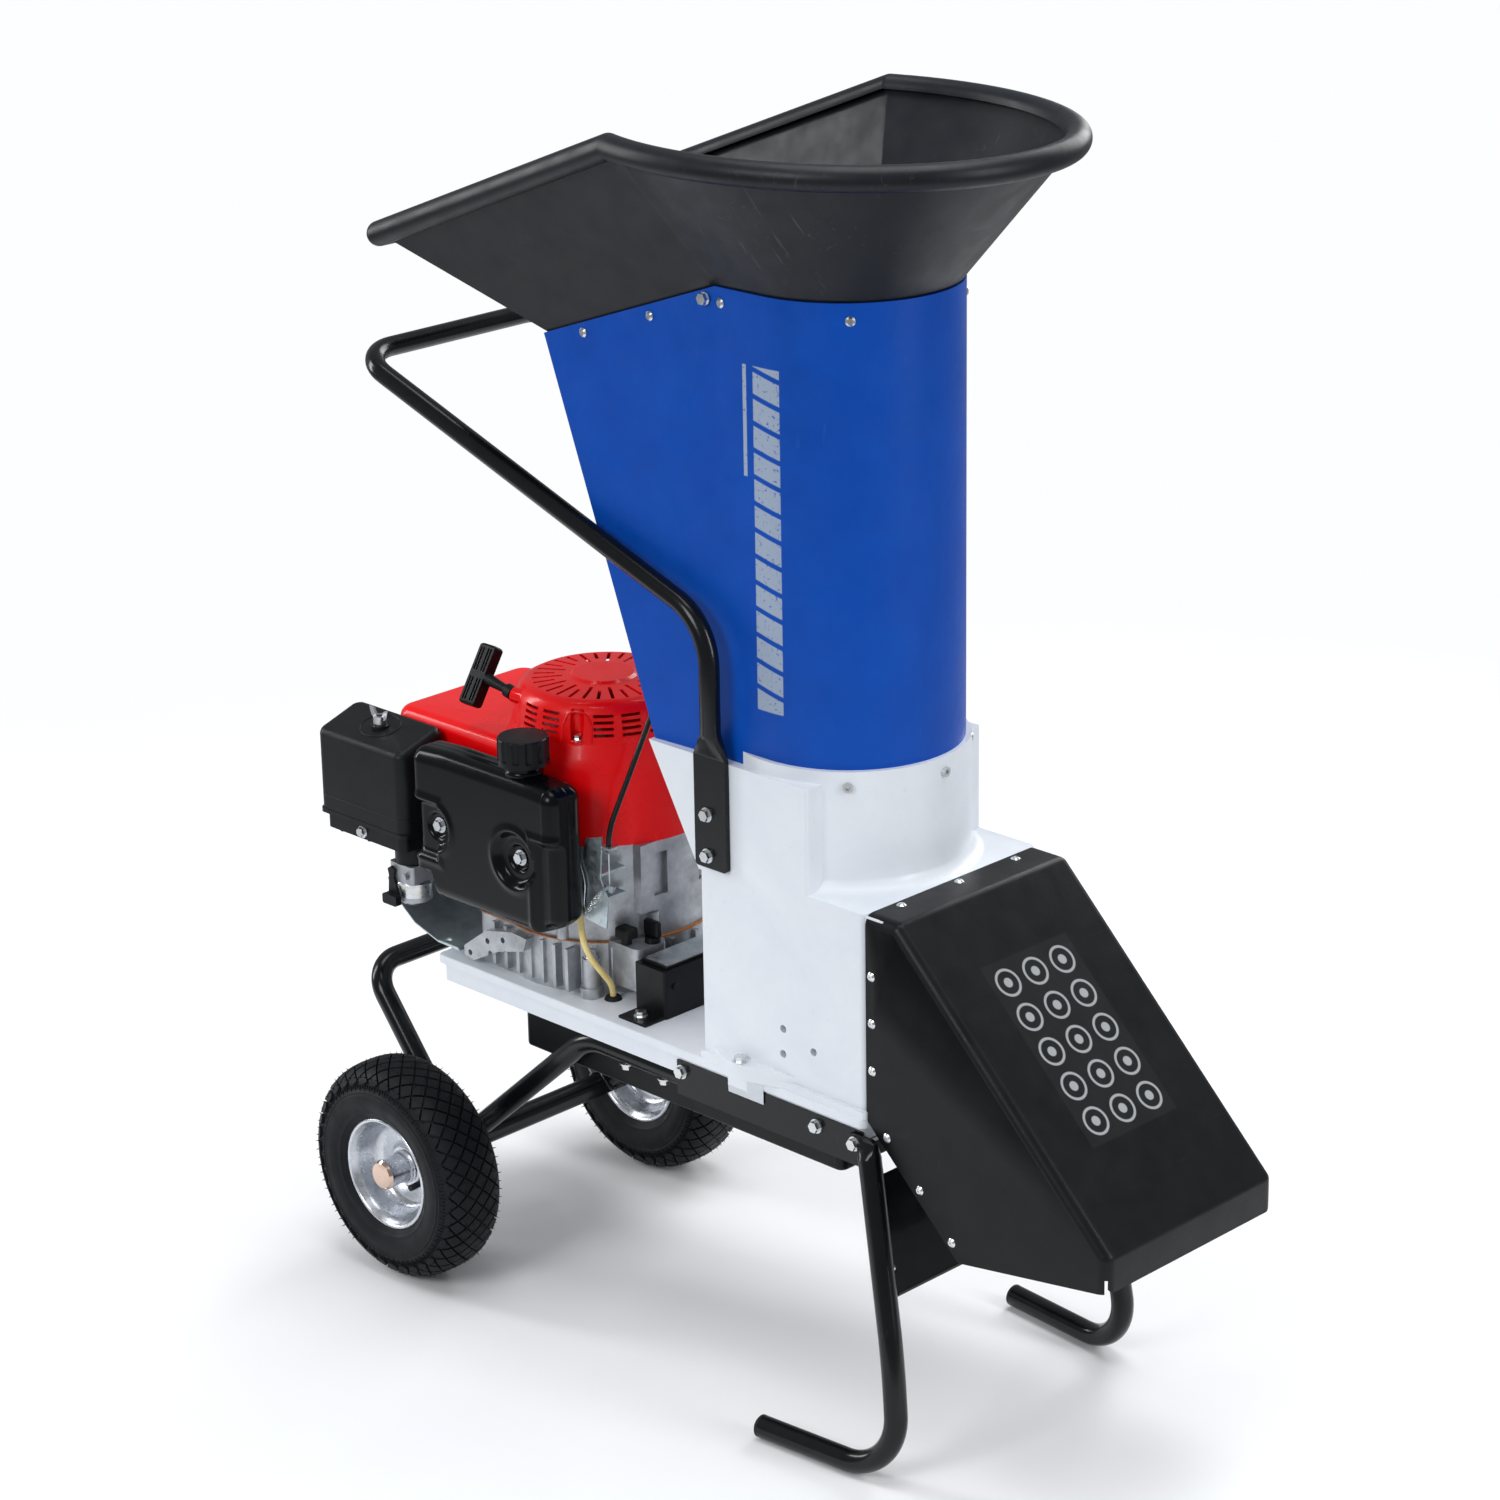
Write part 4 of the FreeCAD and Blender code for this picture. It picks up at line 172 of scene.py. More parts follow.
def scratches(s, scale=200, amount=1.0):
    """Short straight rub marks in two directions, in worn patches only."""
    a = s.noise(scale, 2, 0.4, vec=s.scaled(1, 0.05, 0.10, rot=(0.5, 0.2, 0.7)))
    b = s.noise(scale * 0.8, 2, 0.4, vec=s.scaled(0.06, 1, 0.16, rot=(0.1, 0.7, 0.2)))
    lines = s.math("MAXIMUM", s.span(a, 0.70, 0.74), s.span(b, 0.72, 0.76))
    return s.math("MULTIPLY", lines, s.span(s.noise(9, 3), 0.50, 0.64, 0.0, amount))


# ------------------------------------------------------------------ materials
def powder_coat(name, base, light, rough=0.3, peel=0.22, worn=0.3, coat=0.25, low=None, extra=None):
    """Orange-peel powder paint between two tones; extra paints a pattern over it."""
    s = Shade(name, base, rough, 0.0, coat, 0.12, spec=0.20)
    tone = s.mix(s.span(s.noise(16, 5, 0.6), 0.3, 0.75), base, light)
    tone = grime(s, tone, tuple(0.8 * c + 0.012 for c in light), 0.08, low)
    marks = scratches(s, 220, worn)
    tone = s.mix(marks, tone, tuple(min(1, c * 2.2 + 0.12) for c in light))
    if extra:
        tone = extra(s, tone)
    s.plug("Base Color", tone)
    r = s.span(s.noise(30, 4, 0.6), 0.25, 0.8, rough * 0.82, rough * 1.3)
    s.plug("Roughness", s.math("ADD", r, s.math("MULTIPLY", marks, 0.25), clamp=True))
    s.bump(s.noise(520, 2, 0.4), peel, 0.00035)
    s.bump(s.noise(95, 2, 0.5), peel * 0.55, 0.0012)
    s.bump(marks, -0.15, 0.0004)
    return s.mat


CHUTE_X = 0.106                          # axis of the chute's round front
BAND_LOW, BAND_HIGH = 0.784, 1.146       # ends of the printed band, in Z
THIN_LOW = 1.030                         # lower end of the thin line beside it
BAND_GREY = (0.36, 0.43, 0.53)


def stripe(s, tone):
    """A plain broken grey band down the round front of the chute, and a thin one beside it."""
    x, y, z = s.xyz()
    angle = s.math("ARCTAN2", s.math("SUBTRACT", x, CHUTE_X), s.math("MULTIPLY", y, -1.0))
    front = s.inside(y, -0.2, -0.02)
    wide = s.math("MULTIPLY", s.inside(angle, -0.13, 0.16, 0.004), s.inside(z, BAND_LOW, BAND_HIGH, 0.0005))
    slope = s.math("ADD", z, s.math("MULTIPLY", angle, 0.030))
    blocks = s.inside(s.math("FRACT", s.math("MULTIPLY", slope, 36.0)), 0.10, 0.90, 0.02)
    wide = s.math("MULTIPLY", wide, blocks)
    beside = s.inside(angle, -0.245, -0.205, 0.003)
    thin = s.math("MULTIPLY", beside, s.inside(z, THIN_LOW, BAND_HIGH, 0.0005))
    mask = s.math("MULTIPLY", s.math("MAXIMUM", wide, thin), front)
    worn = s.span(s.noise(240, 4, 0.6), 0.30, 0.42)
    mask = s.math("MULTIPLY", mask, s.math("MULTIPLY", worn, 0.92))
    return s.mix(mask, tone, BAND_GREY)


HOOD_EDGE = (0.293, 0.6032)              # X and Z of the slope's upper edge
SLOPE = (0.710, 0.704)                   # its direction, forward and down
CELL_Y, CELL_DOWN = 0.042, 0.0415        # size of a ring's cell, across and down the slope
SHEET_BLACK = (0.0115, 0.012, 0.013)
RING_GREY = (0.40, 0.42, 0.44)


def label(s, tone):
    """A plain dull sticker on the hood's slope, with rows of plain rings."""
    x, y, z = s.xyz()
    down = s.math("ADD", s.math("MULTIPLY", s.math("SUBTRACT", x, HOOD_EDGE[0]), SLOPE[0]),
                  s.math("MULTIPLY", s.math("SUBTRACT", HOOD_EDGE[1], z), SLOPE[1]))
    slope = s.inside(x, 0.31, 0.565, 0.001)
    patch = s.math("MULTIPLY", s.inside(y, -0.066, 0.066), s.inside(down, 0.075, 0.290))
    patch = s.math("MULTIPLY", patch, slope)
    tone = s.mix(patch, tone, SHEET_BLACK)
    u = s.math("SUBTRACT", s.math("FRACT", s.math("DIVIDE", s.math("ADD", y, 0.063), CELL_Y)), 0.5)
    v = s.math("SUBTRACT", s.math("FRACT", s.math("DIVIDE", s.math("SUBTRACT", down, 0.079), CELL_DOWN)), 0.5)
    away = s.math("SQRT", s.math("ADD", s.math("MULTIPLY", u, u), s.math("MULTIPLY", v, v)))
    ringed = s.inside(away, 0.315, 0.385, 0.012)
    dot = s.inside(away, -1.0, 0.13, 0.012)
    cells = s.math("MULTIPLY", s.inside(y, -0.063, 0.063), s.inside(down, 0.079, 0.286))
    marks = s.math("MULTIPLY", s.math("MAXIMUM", ringed, dot), s.math("MULTIPLY", cells, slope))
    return s.mix(s.math("MULTIPLY", marks, 0.85), tone, RING_GREY)


BLUE = powder_coat("blue_powder", (0.0003, 0.060, 0.385), (0.0006, 0.074, 0.450), rough=0.36, peel=0.30,
                   worn=0.04, coat=0.05, extra=stripe)
BLACK_TUBE = powder_coat("black_powder", (0.0022, 0.0027, 0.0038), (0.0042, 0.0050, 0.0066), rough=0.22,
                         peel=0.12, worn=0.08, coat=0.22, low=(0.0, 0.06))
BLACK_SHEET = powder_coat("black_sheet", (0.0034, 0.0040, 0.0052), (0.0058, 0.0066, 0.0082), rough=0.36,
                          peel=0.20, worn=0.04, coat=0.03, extra=label)


def silver_paint():
    """Pale grey paint over a rough casting, with a few dark specks."""
    s = Shade("silver_paint", (0.78, 0.82, 0.88), 0.36, 0.0, 0.15, 0.2)
    tone = s.mix(s.span(s.noise(9, 6, 0.65, 0.4), 0.3, 0.75), (0.71, 0.755, 0.82), (0.81, 0.845, 0.89))
    tone = s.mix(s.span(s.noise(55, 5, 0.7), 0.66, 0.80, 0.0, 0.35), tone, (0.42, 0.43, 0.45))
    specks = s.span(s.cells(210), 0.02, 0.10, 0.7, 0.0)
    specks = s.math("MULTIPLY", specks, s.span(s.noise(13, 3), 0.58, 0.66))
    tone = s.mix(specks, tone, (0.22, 0.22, 0.23))
    s.plug("Base Color", tone)
    s.plug("Roughness", s.span(s.noise(26, 4), 0.25, 0.8, 0.30, 0.46))
    s.bump(s.noise(140, 4, 0.6), 0.16, 0.0009)
    s.bump(s.noise(22, 3, 0.5), 0.10, 0.004)
    return s.mat


def hopper_plastic():
    """Grained black plastic, scuffed towards the rim."""
    s = Shade("hopper_plastic", (0.006, 0.007, 0.010), 0.40, 0.0, 0.0, spec=0.26)
    cloud = s.span(s.noise(12, 6, 0.65, 0.5), 0.3, 0.8)
    tone = s.mix(cloud, (0.0050, 0.0064, 0.0092), (0.0098, 0.0124, 0.0168))
    high = s.span(s.xyz()[2], 1.20, 1.375)
    scuff = s.span(s.noise(90, 7, 0.75, 1.2, vec=s.scaled(1, 1, 0.35)), 0.60, 0.72, 0.0, 0.5)
    scuff = s.math("MULTIPLY", scuff, s.span(s.noise(9, 3, 0.5), 0.46, 0.66))
    scuff = s.math("MULTIPLY", scuff, s.math("ADD", high, 0.25))
    lines = scratches(s, 210, 0.22)
    marks = s.math("MAXIMUM", scuff, lines)
    tone = s.mix(marks, tone, (0.16, 0.165, 0.17))
    s.plug("Base Color", tone)
    s.plug("Roughness", s.math("ADD", s.span(s.noise(35, 4), 0.2, 0.8, 0.33, 0.50),
                               s.math("MULTIPLY", marks, 0.25), clamp=True))
    s.bump(s.noise(900, 2, 0.5), 0.20, 0.00025)
    s.bump(s.noise(60, 4, 0.6), 0.12, 0.0012)
    s.bump(marks, 0.12, 0.0004)
    return s.mat


def moulded(name, base, light, rough, grain=0.2, coat=0.0, scale=700, worn=0.2, spec=0.20):
    """Moulded plastic or rubber with a fine grain."""
    s = Shade(name, base, rough, 0.0, coat, 0.1, spec=spec)
    tone = s.mix(s.span(s.noise(20, 6, 0.65), 0.3, 0.78), base, light)
    lines = scratches(s, 260, worn)
    tone = s.mix(lines, tone, tuple(min(1, c * 3 + 0.02) for c in light))
    s.plug("Base Color", tone)
    s.plug("Roughness", s.math("ADD", s.span(s.noise(45, 4), 0.2, 0.8, rough * 0.85, rough * 1.2),
                               s.math("MULTIPLY", lines, 0.3), clamp=True))
    s.bump(s.noise(scale, 2, 0.5), grain, 0.0003)
    s.bump(s.noise(70, 3, 0.5), grain * 0.5, 0.001)
    return s.mat


def gloss_red():
    s = Shade("engine_red", (0.86, 0.001, 0.003), 0.28, 0.0, 0.22, 0.05, spec=0.25)
    tone = s.mix(s.span(s.noise(14, 5, 0.6), 0.3, 0.75), (0.84, 0.0008, 0.0026), (0.95, 0.0016, 0.0045))
    tone = s.mix(s.span(s.noise(70, 6, 0.7), 0.68, 0.80, 0.0, 0.12), tone, (0.60, 0.02, 0.02))
    s.plug("Base Color", tone)
    s.plug("Roughness", s.span(s.noise(40, 4), 0.25, 0.8, 0.24, 0.38))
    s.bump(s.noise(180, 2, 0.4), 0.10, 0.0006)
    return s.mat


def cast(name, base, light, rough=0.46, metal=0.85):
    """Sand-cast metal, stained in patches."""
    s = Shade(name, base, rough, metal)
    tone = s.mix(s.span(s.noise(60, 7, 0.7), 0.3, 0.72), base, light)
    stain = s.span(s.noise(18, 5, 0.6, 0.5), 0.50, 0.78, 0.0, 0.55)
    tone = s.mix(stain, tone, tuple(c * 0.45 for c in base))
    s.plug("Base Color", tone)
    s.plug("Roughness", s.span(s.noise(90, 5), 0.2, 0.8, rough * 0.8, rough * 1.25))
    s.bump(s.noise(700, 3, 0.6), 0.35, 0.0005)
    s.bump(s.noise(150, 4, 0.6), 0.25, 0.0012)
    return s.mat


def plated(name, base, light, rough=0.24, tint=None, grain=0.08):
    """Zinc, chrome or galvanised metal, tinted in patches."""
    s = Shade(name, base, rough, 1.0)
    tone = s.mix(s.span(s.noise(38, 5, 0.6), 0.3, 0.75), base, light)
    if tint:
        tone = s.mix(s.span(s.noise(65, 4, 0.5, 1.0), 0.5, 0.7, 0.0, 0.6), tone, tint)
    s.plug("Base Color", tone)
    s.plug("Roughness", s.span(s.noise(120, 5, 0.6), 0.25, 0.75, rough * 0.7, rough * 1.4))
    s.bump(s.noise(420, 3, 0.5), grain, 0.0005)
    return s.mat


def machined(name, base, light, rough=0.3):
    """Turned steel with fine level lines and spots of rust."""
    s = Shade(name, base, rough, 1.0)
    fine = s.noise(30, 4, 0.6, vec=s.scaled(1, 1, 55))
    tone = s.mix(s.span(fine, 0.3, 0.75), base, light)
    tone = s.mix(s.span(s.noise(35, 6, 0.7), 0.6, 0.8, 0.0, 0.6), tone, (0.16, 0.10, 0.06))
    s.plug("Base Color", tone)
    s.plug("Roughness", s.span(s.noise(80, 4), 0.2, 0.8, rough * 0.8, rough * 1.5))
    s.bump(fine, 0.10, 0.0004)
    return s.mat


def tyre_rubber():
    s = Shade("tyre_rubber", (0.006, 0.007, 0.010), 0.55, 0.0, 0.0, spec=0.18)
    tone = s.mix(s.span(s.noise(28, 6, 0.7), 0.3, 0.75), (0.0034, 0.0044, 0.0062), (0.0074, 0.0090, 0.0120))
    tone = s.mix(s.span(s.noise(120, 6, 0.75), 0.60, 0.80, 0.0, 0.25), tone, (0.020, 0.021, 0.023))
    s.plug("Base Color", tone)
    s.plug("Roughness", s.span(s.noise(60, 5), 0.2, 0.8, 0.42, 0.66))
    s.bump(s.noise(620, 3, 0.6), 0.22, 0.0004)
    s.bump(s.noise(90, 4, 0.6), 0.14, 0.0010)
    return s.mat


def belt_cloth():
    s = Shade("belt_cloth", (0.014, 0.014, 0.015), 0.75, sheen=0.15)
    weave_height_and_shade = s.math("MULTIPLY", s.wave(420, "X"), s.wave(420, "Z"))
    # Painted shade: the cloth's colour is darker in the hollows between the threads and lighter on their
    # tops.
    tone = s.mix(weave_height_and_shade, (0.009, 0.009, 0.010), (0.035, 0.035, 0.037))
    s.plug("Base Color", s.mix(s.span(s.noise(60, 5), 0.5, 0.8, 0.0, 0.5), tone, (0.06, 0.06, 0.055)))
    s.bump(weave_height_and_shade, 0.4, 0.0004)
    return s.mat


def hose_tube():
    s = Shade("hose_tube", (0.72, 0.50, 0.12), 0.26, 0.0, 0.3, 0.1)
    s.set("Subsurface Weight", 0.25)
    s.set("Subsurface Radius", (0.004, 0.003, 0.001))
    z = s.xyz()[2]
    tone = s.mix(s.span(s.noise(90, 5), 0.3, 0.75), (0.84, 0.63, 0.20), (0.93, 0.78, 0.36))
    tone = s.mix(s.span(z, 0.345, 0.42, 0.35, 0.0), tone, (0.62, 0.40, 0.10))
    s.plug("Base Color", tone)
    s.plug("Roughness", s.span(s.noise(150, 4), 0.3, 0.7, 0.2, 0.34))
    s.bump(s.noise(350, 3), 0.08, 0.0004)
    return s.mat


def gasket_line():
    s = Shade("gasket_line", (0.52, 0.17, 0.02), 0.5)
    s.plug("Base Color", s.mix(s.span(s.noise(300, 4), 0.3, 0.7), (0.40, 0.12, 0.015), (0.62, 0.24, 0.05)))
    s.bump(s.noise(500, 3), 0.4, 0.0006)
    return s.mat


def filter_paper():
    s = Shade("filter_paper", (0.50, 0.36, 0.18), 0.85, sheen=0.1)
    pleat_height_and_shade = s.wave(60, "X", vec=s.scaled(1, 1, 0.0))
    # Painted shade: the paper's colour is darker in the folds of the pleats and lighter on their ridges.
    s.plug("Base Color", s.mix(pleat_height_and_shade, (0.34, 0.23, 0.10), (0.60, 0.45, 0.24)))
    s.bump(pleat_height_and_shade, 0.6, 0.002)
    s.bump(s.noise(900, 3), 0.3, 0.0003)
    return s.mat


SILVER = silver_paint()
HOPPER = hopper_plastic()
RED = gloss_red()
CAST = cast("cast_aluminium", (0.40, 0.42, 0.45), (0.60, 0.62, 0.65))
IRON = cast("cast_iron", (0.10, 0.10, 0.105), (0.20, 0.20, 0.21), 0.5, 0.9)
ZINC = plated("zinc_plate", (0.60, 0.63, 0.66), (0.78, 0.80, 0.82), 0.26, (0.66, 0.64, 0.52))
GALV = plated("galvanised", (0.50, 0.58, 0.61), (0.68, 0.75, 0.78), 0.38, (0.42, 0.51, 0.55), 0.14)
CHROME = plated("bright_rim", (0.60, 0.62, 0.66), (0.72, 0.74, 0.78), 0.27, (0.52, 0.56, 0.62), 0.03)


def hub_metal():
    s = Shade("hub_chrome", (0.70, 0.72, 0.75), 0.12, 1.0)
    y = s.math("ABSOLUTE", s.xyz()[1])
    cap = s.span(y, 0.2335, 0.2342)
    tone = s.mix(s.span(s.noise(60, 4), 0.3, 0.7), (0.62, 0.64, 0.67), (0.76, 0.78, 0.80))
    s.plug("Base Color", s.mix(cap, tone, (0.68, 0.51, 0.42)))
    s.plug("Roughness", s.span(s.noise(90, 4), 0.3, 0.7, 0.08, 0.18))
    s.bump(s.noise(300, 2), 0.02, 0.0003)
    return s.mat


HUB = hub_metal()
STEEL = machined("steel", (0.34, 0.34, 0.35), (0.52, 0.52, 0.53))
TYRE = tyre_rubber()
RUBBER = moulded("rubber", (0.010, 0.010, 0.011), (0.022, 0.022, 0.024), 0.6, 0.3)
TANK = moulded("tank_plastic", (0.0012, 0.0016, 0.0026), (0.0026, 0.0032, 0.0046), 0.20, grain=0.05,
               coat=0.14, scale=500, worn=0.05, spec=0.12)
FILTER_COVER = moulded("cover_plastic", (0.0065, 0.0072, 0.0088), (0.0115, 0.0125, 0.0145), 0.42, grain=0.28,
                       scale=900, worn=0.08)
KNOB = moulded("knob_plastic", (0.0040, 0.0044, 0.0054), (0.0085, 0.0092, 0.011), 0.34, grain=0.2, scale=800,
               worn=0.08)
CABLE = moulded("cable_sheath", (0.006, 0.006, 0.0065), (0.012, 0.012, 0.013), 0.28, 0.05, 0.2)
BELT = belt_cloth()
HOSE = hose_tube()
GASKET = gasket_line()
PAPER = filter_paper()
MUFF = plated("muffler_steel", (0.36, 0.35, 0.34), (0.52, 0.50, 0.48), 0.40, (0.36, 0.27, 0.18), 0.2)

MADE_OF = (
    (BLUE, "feed_chute"),
    (HOPPER, "hopper"),
    (SILVER, "rotor_housing engine_deck"),
    (BLACK_SHEET, "discharge_hood hood_rear_plate belt_guard control_box"),
    (BLACK_TUBE, "side_rail_left side_rail_right leg_brace_plate wheel_frame push_handle"),
    (BLACK_TUBE, "front_leg_left front_leg_right"),
    (RUBBER, "rubber_plugs valve_left valve_right"),
    (STEEL, "axle_rod rotor_shaft rotor_disc rotor_knives knife_screws rotor_bearings"),
    (STEEL, "counter_knife crankshaft"),
    (BELT, "drive_belts"),
    (IRON, "engine_pulley rotor_pulley"),
    (ZINC, "pop_rivets frame_bolts engine_bolts wing_nut"),
    (GALV, "governor_bracket heat_shield"),
    (CAST, "crankcase cylinder_block valve_cover carburettor flywheel_fan"),
    (MUFF, "muffler"),
    (GASKET, "sump_gasket"),
    (RED, "engine_shroud recoil_cover"),
    (KNOB, "starter_handle fuel_cap air_filter_base choke_lever oil_dipstick"),
    (TANK, "fuel_tank"),
    (FILTER_COVER, "air_filter_cover"),
    (PAPER, "filter_element"),
    (CABLE, "throttle_cable"),
    (HOSE, "fuel_hose"),
    (TYRE, "tyre_left tyre_right"),
    (CHROME, "wheel_rim_left wheel_rim_right"),
    (HUB, "wheel_hub_left wheel_hub_right"),
)
LOOK = {node: material for material, nodes in MADE_OF for node in nodes.split()}


def dress(name, material):
    """Give a CAD node its material, shaded smooth between sharp edges."""
    o = NODES[name]
    o.data.materials.clear()
    o.data.materials.append(material)
    weld = o.modifiers.new("weld", "WELD")
    weld.merge_threshold = 0.000012
    o.data.shade_smooth()
    split = o.modifiers.new("crease", "EDGE_SPLIT")
    split.split_angle = math.radians(28)


for name in NODES:
    dress(name, LOOK[name])


# ------------------------------------------------------------------ mesh helpers
def piece(name, verts, faces, material, body, angle=35):
    """A new mesh that rides a body; edges sharper than the angle stay sharp."""
    me = bpy.data.meshes.new(name)
    me.from_pydata([tuple(v) for v in verts], [], faces)
    me.validate()
    me.update()
    o = bpy.data.objects.new(name, me)
    bpy.context.scene.collection.objects.link(o)
    o.data.materials.append(material)
    me.shade_smooth()
    split = o.modifiers.new("crease", "EDGE_SPLIT")
    split.split_angle = math.radians(angle)
    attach(o, body)
    return o


def smooth_line(points, per=6):
    """Points of a Catmull-Rom line through the given points."""
    p = [np.array(q, float) for q in points]
    p = [2 * p[0] - p[1]] + p + [2 * p[-1] - p[-2]]
    out = []
    for i in range(1, len(p) - 2):
        for k in range(per):
            t = k / per
            a, b, c, d = p[i - 1], p[i], p[i + 1], p[i + 2]
            square = (2 * a - 5 * b + 4 * c - d) * t * t
            cube = (3 * b - a - 3 * c + d) * t ** 3
            out.append(0.5 * (2 * b + (c - a) * t + square + cube))
    out.append(p[-2])
    return out


# ------------------------------------------------------------------ tyres
SIDES = (("left", 1), ("right", -1))
WHEEL_X, WHEEL_Y, WHEEL_Z = -0.4145, 0.197, 0.130       # centre of the left wheel
TREAD_LINE = [(0, 126.5), (10, 126.2), (20, 124.7), (28, 121.2), (34.4, 114.6), (38.6, 106), (40.9, 97.5)]
SIDE_LINE = [(41.9, 92), (41.6, 86), (40.2, 80), (37.8, 73.5), (35.2, 69), (33.2, 66.4), (31.2, 64.6)]
CARCASS_SEGMENTS = 144
CARCASS_ROWS = 91
SIDE_RINGS = ((0.0535, 0.0012, 0.0013), (0.0580, 0.0010, 0.0009), (0.0795, 0.0012, 0.0010))
BLOCKS_ROUND = 38
BLOCK_PITCH = 0.0101          # from one row of blocks to the next
BLOCK_HIGH = 0.00315
EDGE_HIGH = 0.0027            # height in the two rows nearest each shoulder
SHOULDER = 0.0445             # the edge rows end here
RIBS = 152
RIM_HAIRS = 22


class Tyre:
    """Carcass, tread blocks, side ribs and moulding hairs of one tyre, in a single mesh.

    The outline is half a section, in millimetres from the wheel's middle and from its axis. A place on
    the skin is an angle round the wheel and s, the distance from the crown along the skin.
    """

    def __init__(self, side, sign):
        self.c = Vector((WHEEL_X, sign * WHEEL_Y, WHEEL_Z))
        self.line = np.array(smooth_line(TREAD_LINE + SIDE_LINE, 7)) / 1000
        step = np.linalg.norm(np.diff(self.line, axis=0), axis=1)
        self.s = np.concatenate([[0], np.cumsum(step)])
        self.v, self.f = [], []
        self.carcass()
        self.blocks()
        self.ribs()
        self.hairs()
        o = piece("tyre_body_" + side, self.v, self.f, TYRE, "wheel_" + side, angle=30)
        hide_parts("tyre_" + side)

    def at(self, angle, s, h):
        """Point at an angle and a place on the skin, at a height over it."""
        a = abs(s)
        ahead = a + 0.0008
        y, r = (np.interp(a, self.s, self.line[:, k]) for k in (0, 1))
        y2, r2 = (np.interp(ahead, self.s, self.line[:, k]) for k in (0, 1))
        along = np.array([y2 - y, r2 - r])
        along = along / max(np.linalg.norm(along), 1e-9)
        y, r = y - along[1] * h, r + along[0] * h
        y = math.copysign(y, s) if s else y
        return (self.c.x + r * math.cos(angle), self.c.y + y, self.c.z + r * math.sin(angle))

    def carcass(self):
        rows = []
        for s in np.linspace(-self.s[-1], self.s[-1], CARCASS_ROWS):
            h = sum(high * math.exp(-((abs(s) - mid) / wide) ** 2) for mid, wide, high in SIDE_RINGS)
            place = s if s else 1e-6
            rows.append([self.at(TAU * j / CARCASS_SEGMENTS, place, h) for j in range(CARCASS_SEGMENTS)])
        n = CARCASS_SEGMENTS
        for row in rows:
            self.v.extend(row)
        for i in range(len(rows) - 1):
            for j in range(n):
                k = (j + 1) % n
                self.f.append((i * n + j, i * n + k, (i + 1) * n + k, (i + 1) * n + j))

    def blocks(self):
        half = math.pi / BLOCKS_ROUND
        for k in range(-4, 5):
            for i in range(BLOCKS_ROUND):
                mid = (i + (0.5 if k % 2 else 0.0)) * 2 * half
                high = BLOCK_HIGH if abs(k) < 3 else EDGE_HIGH
                self.block(mid, k * BLOCK_PITCH, half, high, abs(k) == 4)

    def block(self, mid, centre, half, high, edge):
        """One diamond block: a gridded top and sloping sides; an edge block is cut off at the shoulder."""
        n = 3
        top, foot = 0.84, 0.92

        def point(u, v, scale, h):
            a = mid + (u + v) * 0.5 * half * scale
            s = centre + (u - v) * 0.5 * BLOCK_PITCH * scale
            if edge:
                s = math.copysign(min(abs(s), SHOULDER), centre)
            return self.at(a, s if abs(s) > 1e-6 else 1e-6, h)

        base = len(self.v)
        ticks = [-1 + 2 * i / n for i in range(n + 1)]
        self.v.extend(point(u, v, top, high) for u in ticks for v in ticks)
        for i in range(n):
            for j in range(n):
                q = base + i * (n + 1) + j
                self.f.append((q, q + 1, q + n + 2, q + n + 1))
        ring = [(u, -1) for u in ticks] + [(1, v) for v in ticks[1:]] + [(u, 1) for u in ticks[::-1][1:]]
        ring += [(-1, v) for v in ticks[::-1][1:-1]]
        low = len(self.v)
        self.v.extend(point(u, v, top, high) for u, v in ring)
        self.v.extend(point(u, v, foot, -0.0004) for u, v in ring)
        m = len(ring)
        for i in range(m):
            j = (i + 1) % m
            self.f.append((low + i, low + j, low + m + j, low + m + i))

    def ribs(self):
        """Short ridges across each shoulder, every fourth one wider and every second one longer."""
        for side in (-1, 1):
            for i in range(RIBS):
                a = TAU * (i + 0.25) / RIBS
                w = 0.0030 if i % 4 else 0.0050
                s0, s1 = (0.0455, 0.0520) if i % 2 else (0.0455, 0.0495)
                base = len(self.v)
                for s, h in ((s0, 0.0013), (s1, 0.0008)):
                    for da, dh in ((-w / 2, -0.0002), (0, h), (w / 2, -0.0002)):
                        self.v.append(self.at(a + da, side * s, dh))
                self.f.append((base, base + 1, base + 4, base + 3))
                self.f.append((base + 1, base + 2, base + 5, base + 4))

    def hair_spots(self):
        """Angle, place and length of each moulding hair: five rows over the tread, and stubs on the sides."""
        spots = []
        rows = ((-0.0375, 0.0055), (0.0375, 0.0055), (-0.0205, 0.0050), (0.0205, 0.0050), (0.0, 0.004))
        for i in range(BLOCKS_ROUND * 2):
            a = TAU * (i + 0.5) / (BLOCKS_ROUND * 2)
            for s, tall in rows:
                spots.append((a + random.uniform(-0.01, 0.01), s, tall * random.uniform(0.5, 1.0)))
        for i in range(RIM_HAIRS):
            for side in (-1, 1):
                spots.append((TAU * i / RIM_HAIRS + 0.05, side * (0.062 + 0.012 * (i % 2)), 0.0011))
        return spots

    def hairs(self):
        width = 0.0068
        for a, s, tall in self.hair_spots():
            if math.sin(a) < -0.90:
                tall = min(tall, 0.0006)
            base = len(self.v)
            foot = 0.0024 if abs(s) < 0.05 else -0.0002
            for k in range(4):
                turn = TAU * k / 4
                self.v.append(self.at(a + width * math.cos(turn), s + 0.0008 * math.sin(turn), foot))
            lean, slip = random.uniform(-0.008, 0.008), random.uniform(-0.001, 0.001)
            self.v.append(self.at(a + lean, s + slip, foot + tall))
            for k in range(4):
                self.f.append((base + k, base + (k + 1) % 4, base + 4))


for side, sign in SIDES:
    Tyre(side, sign)


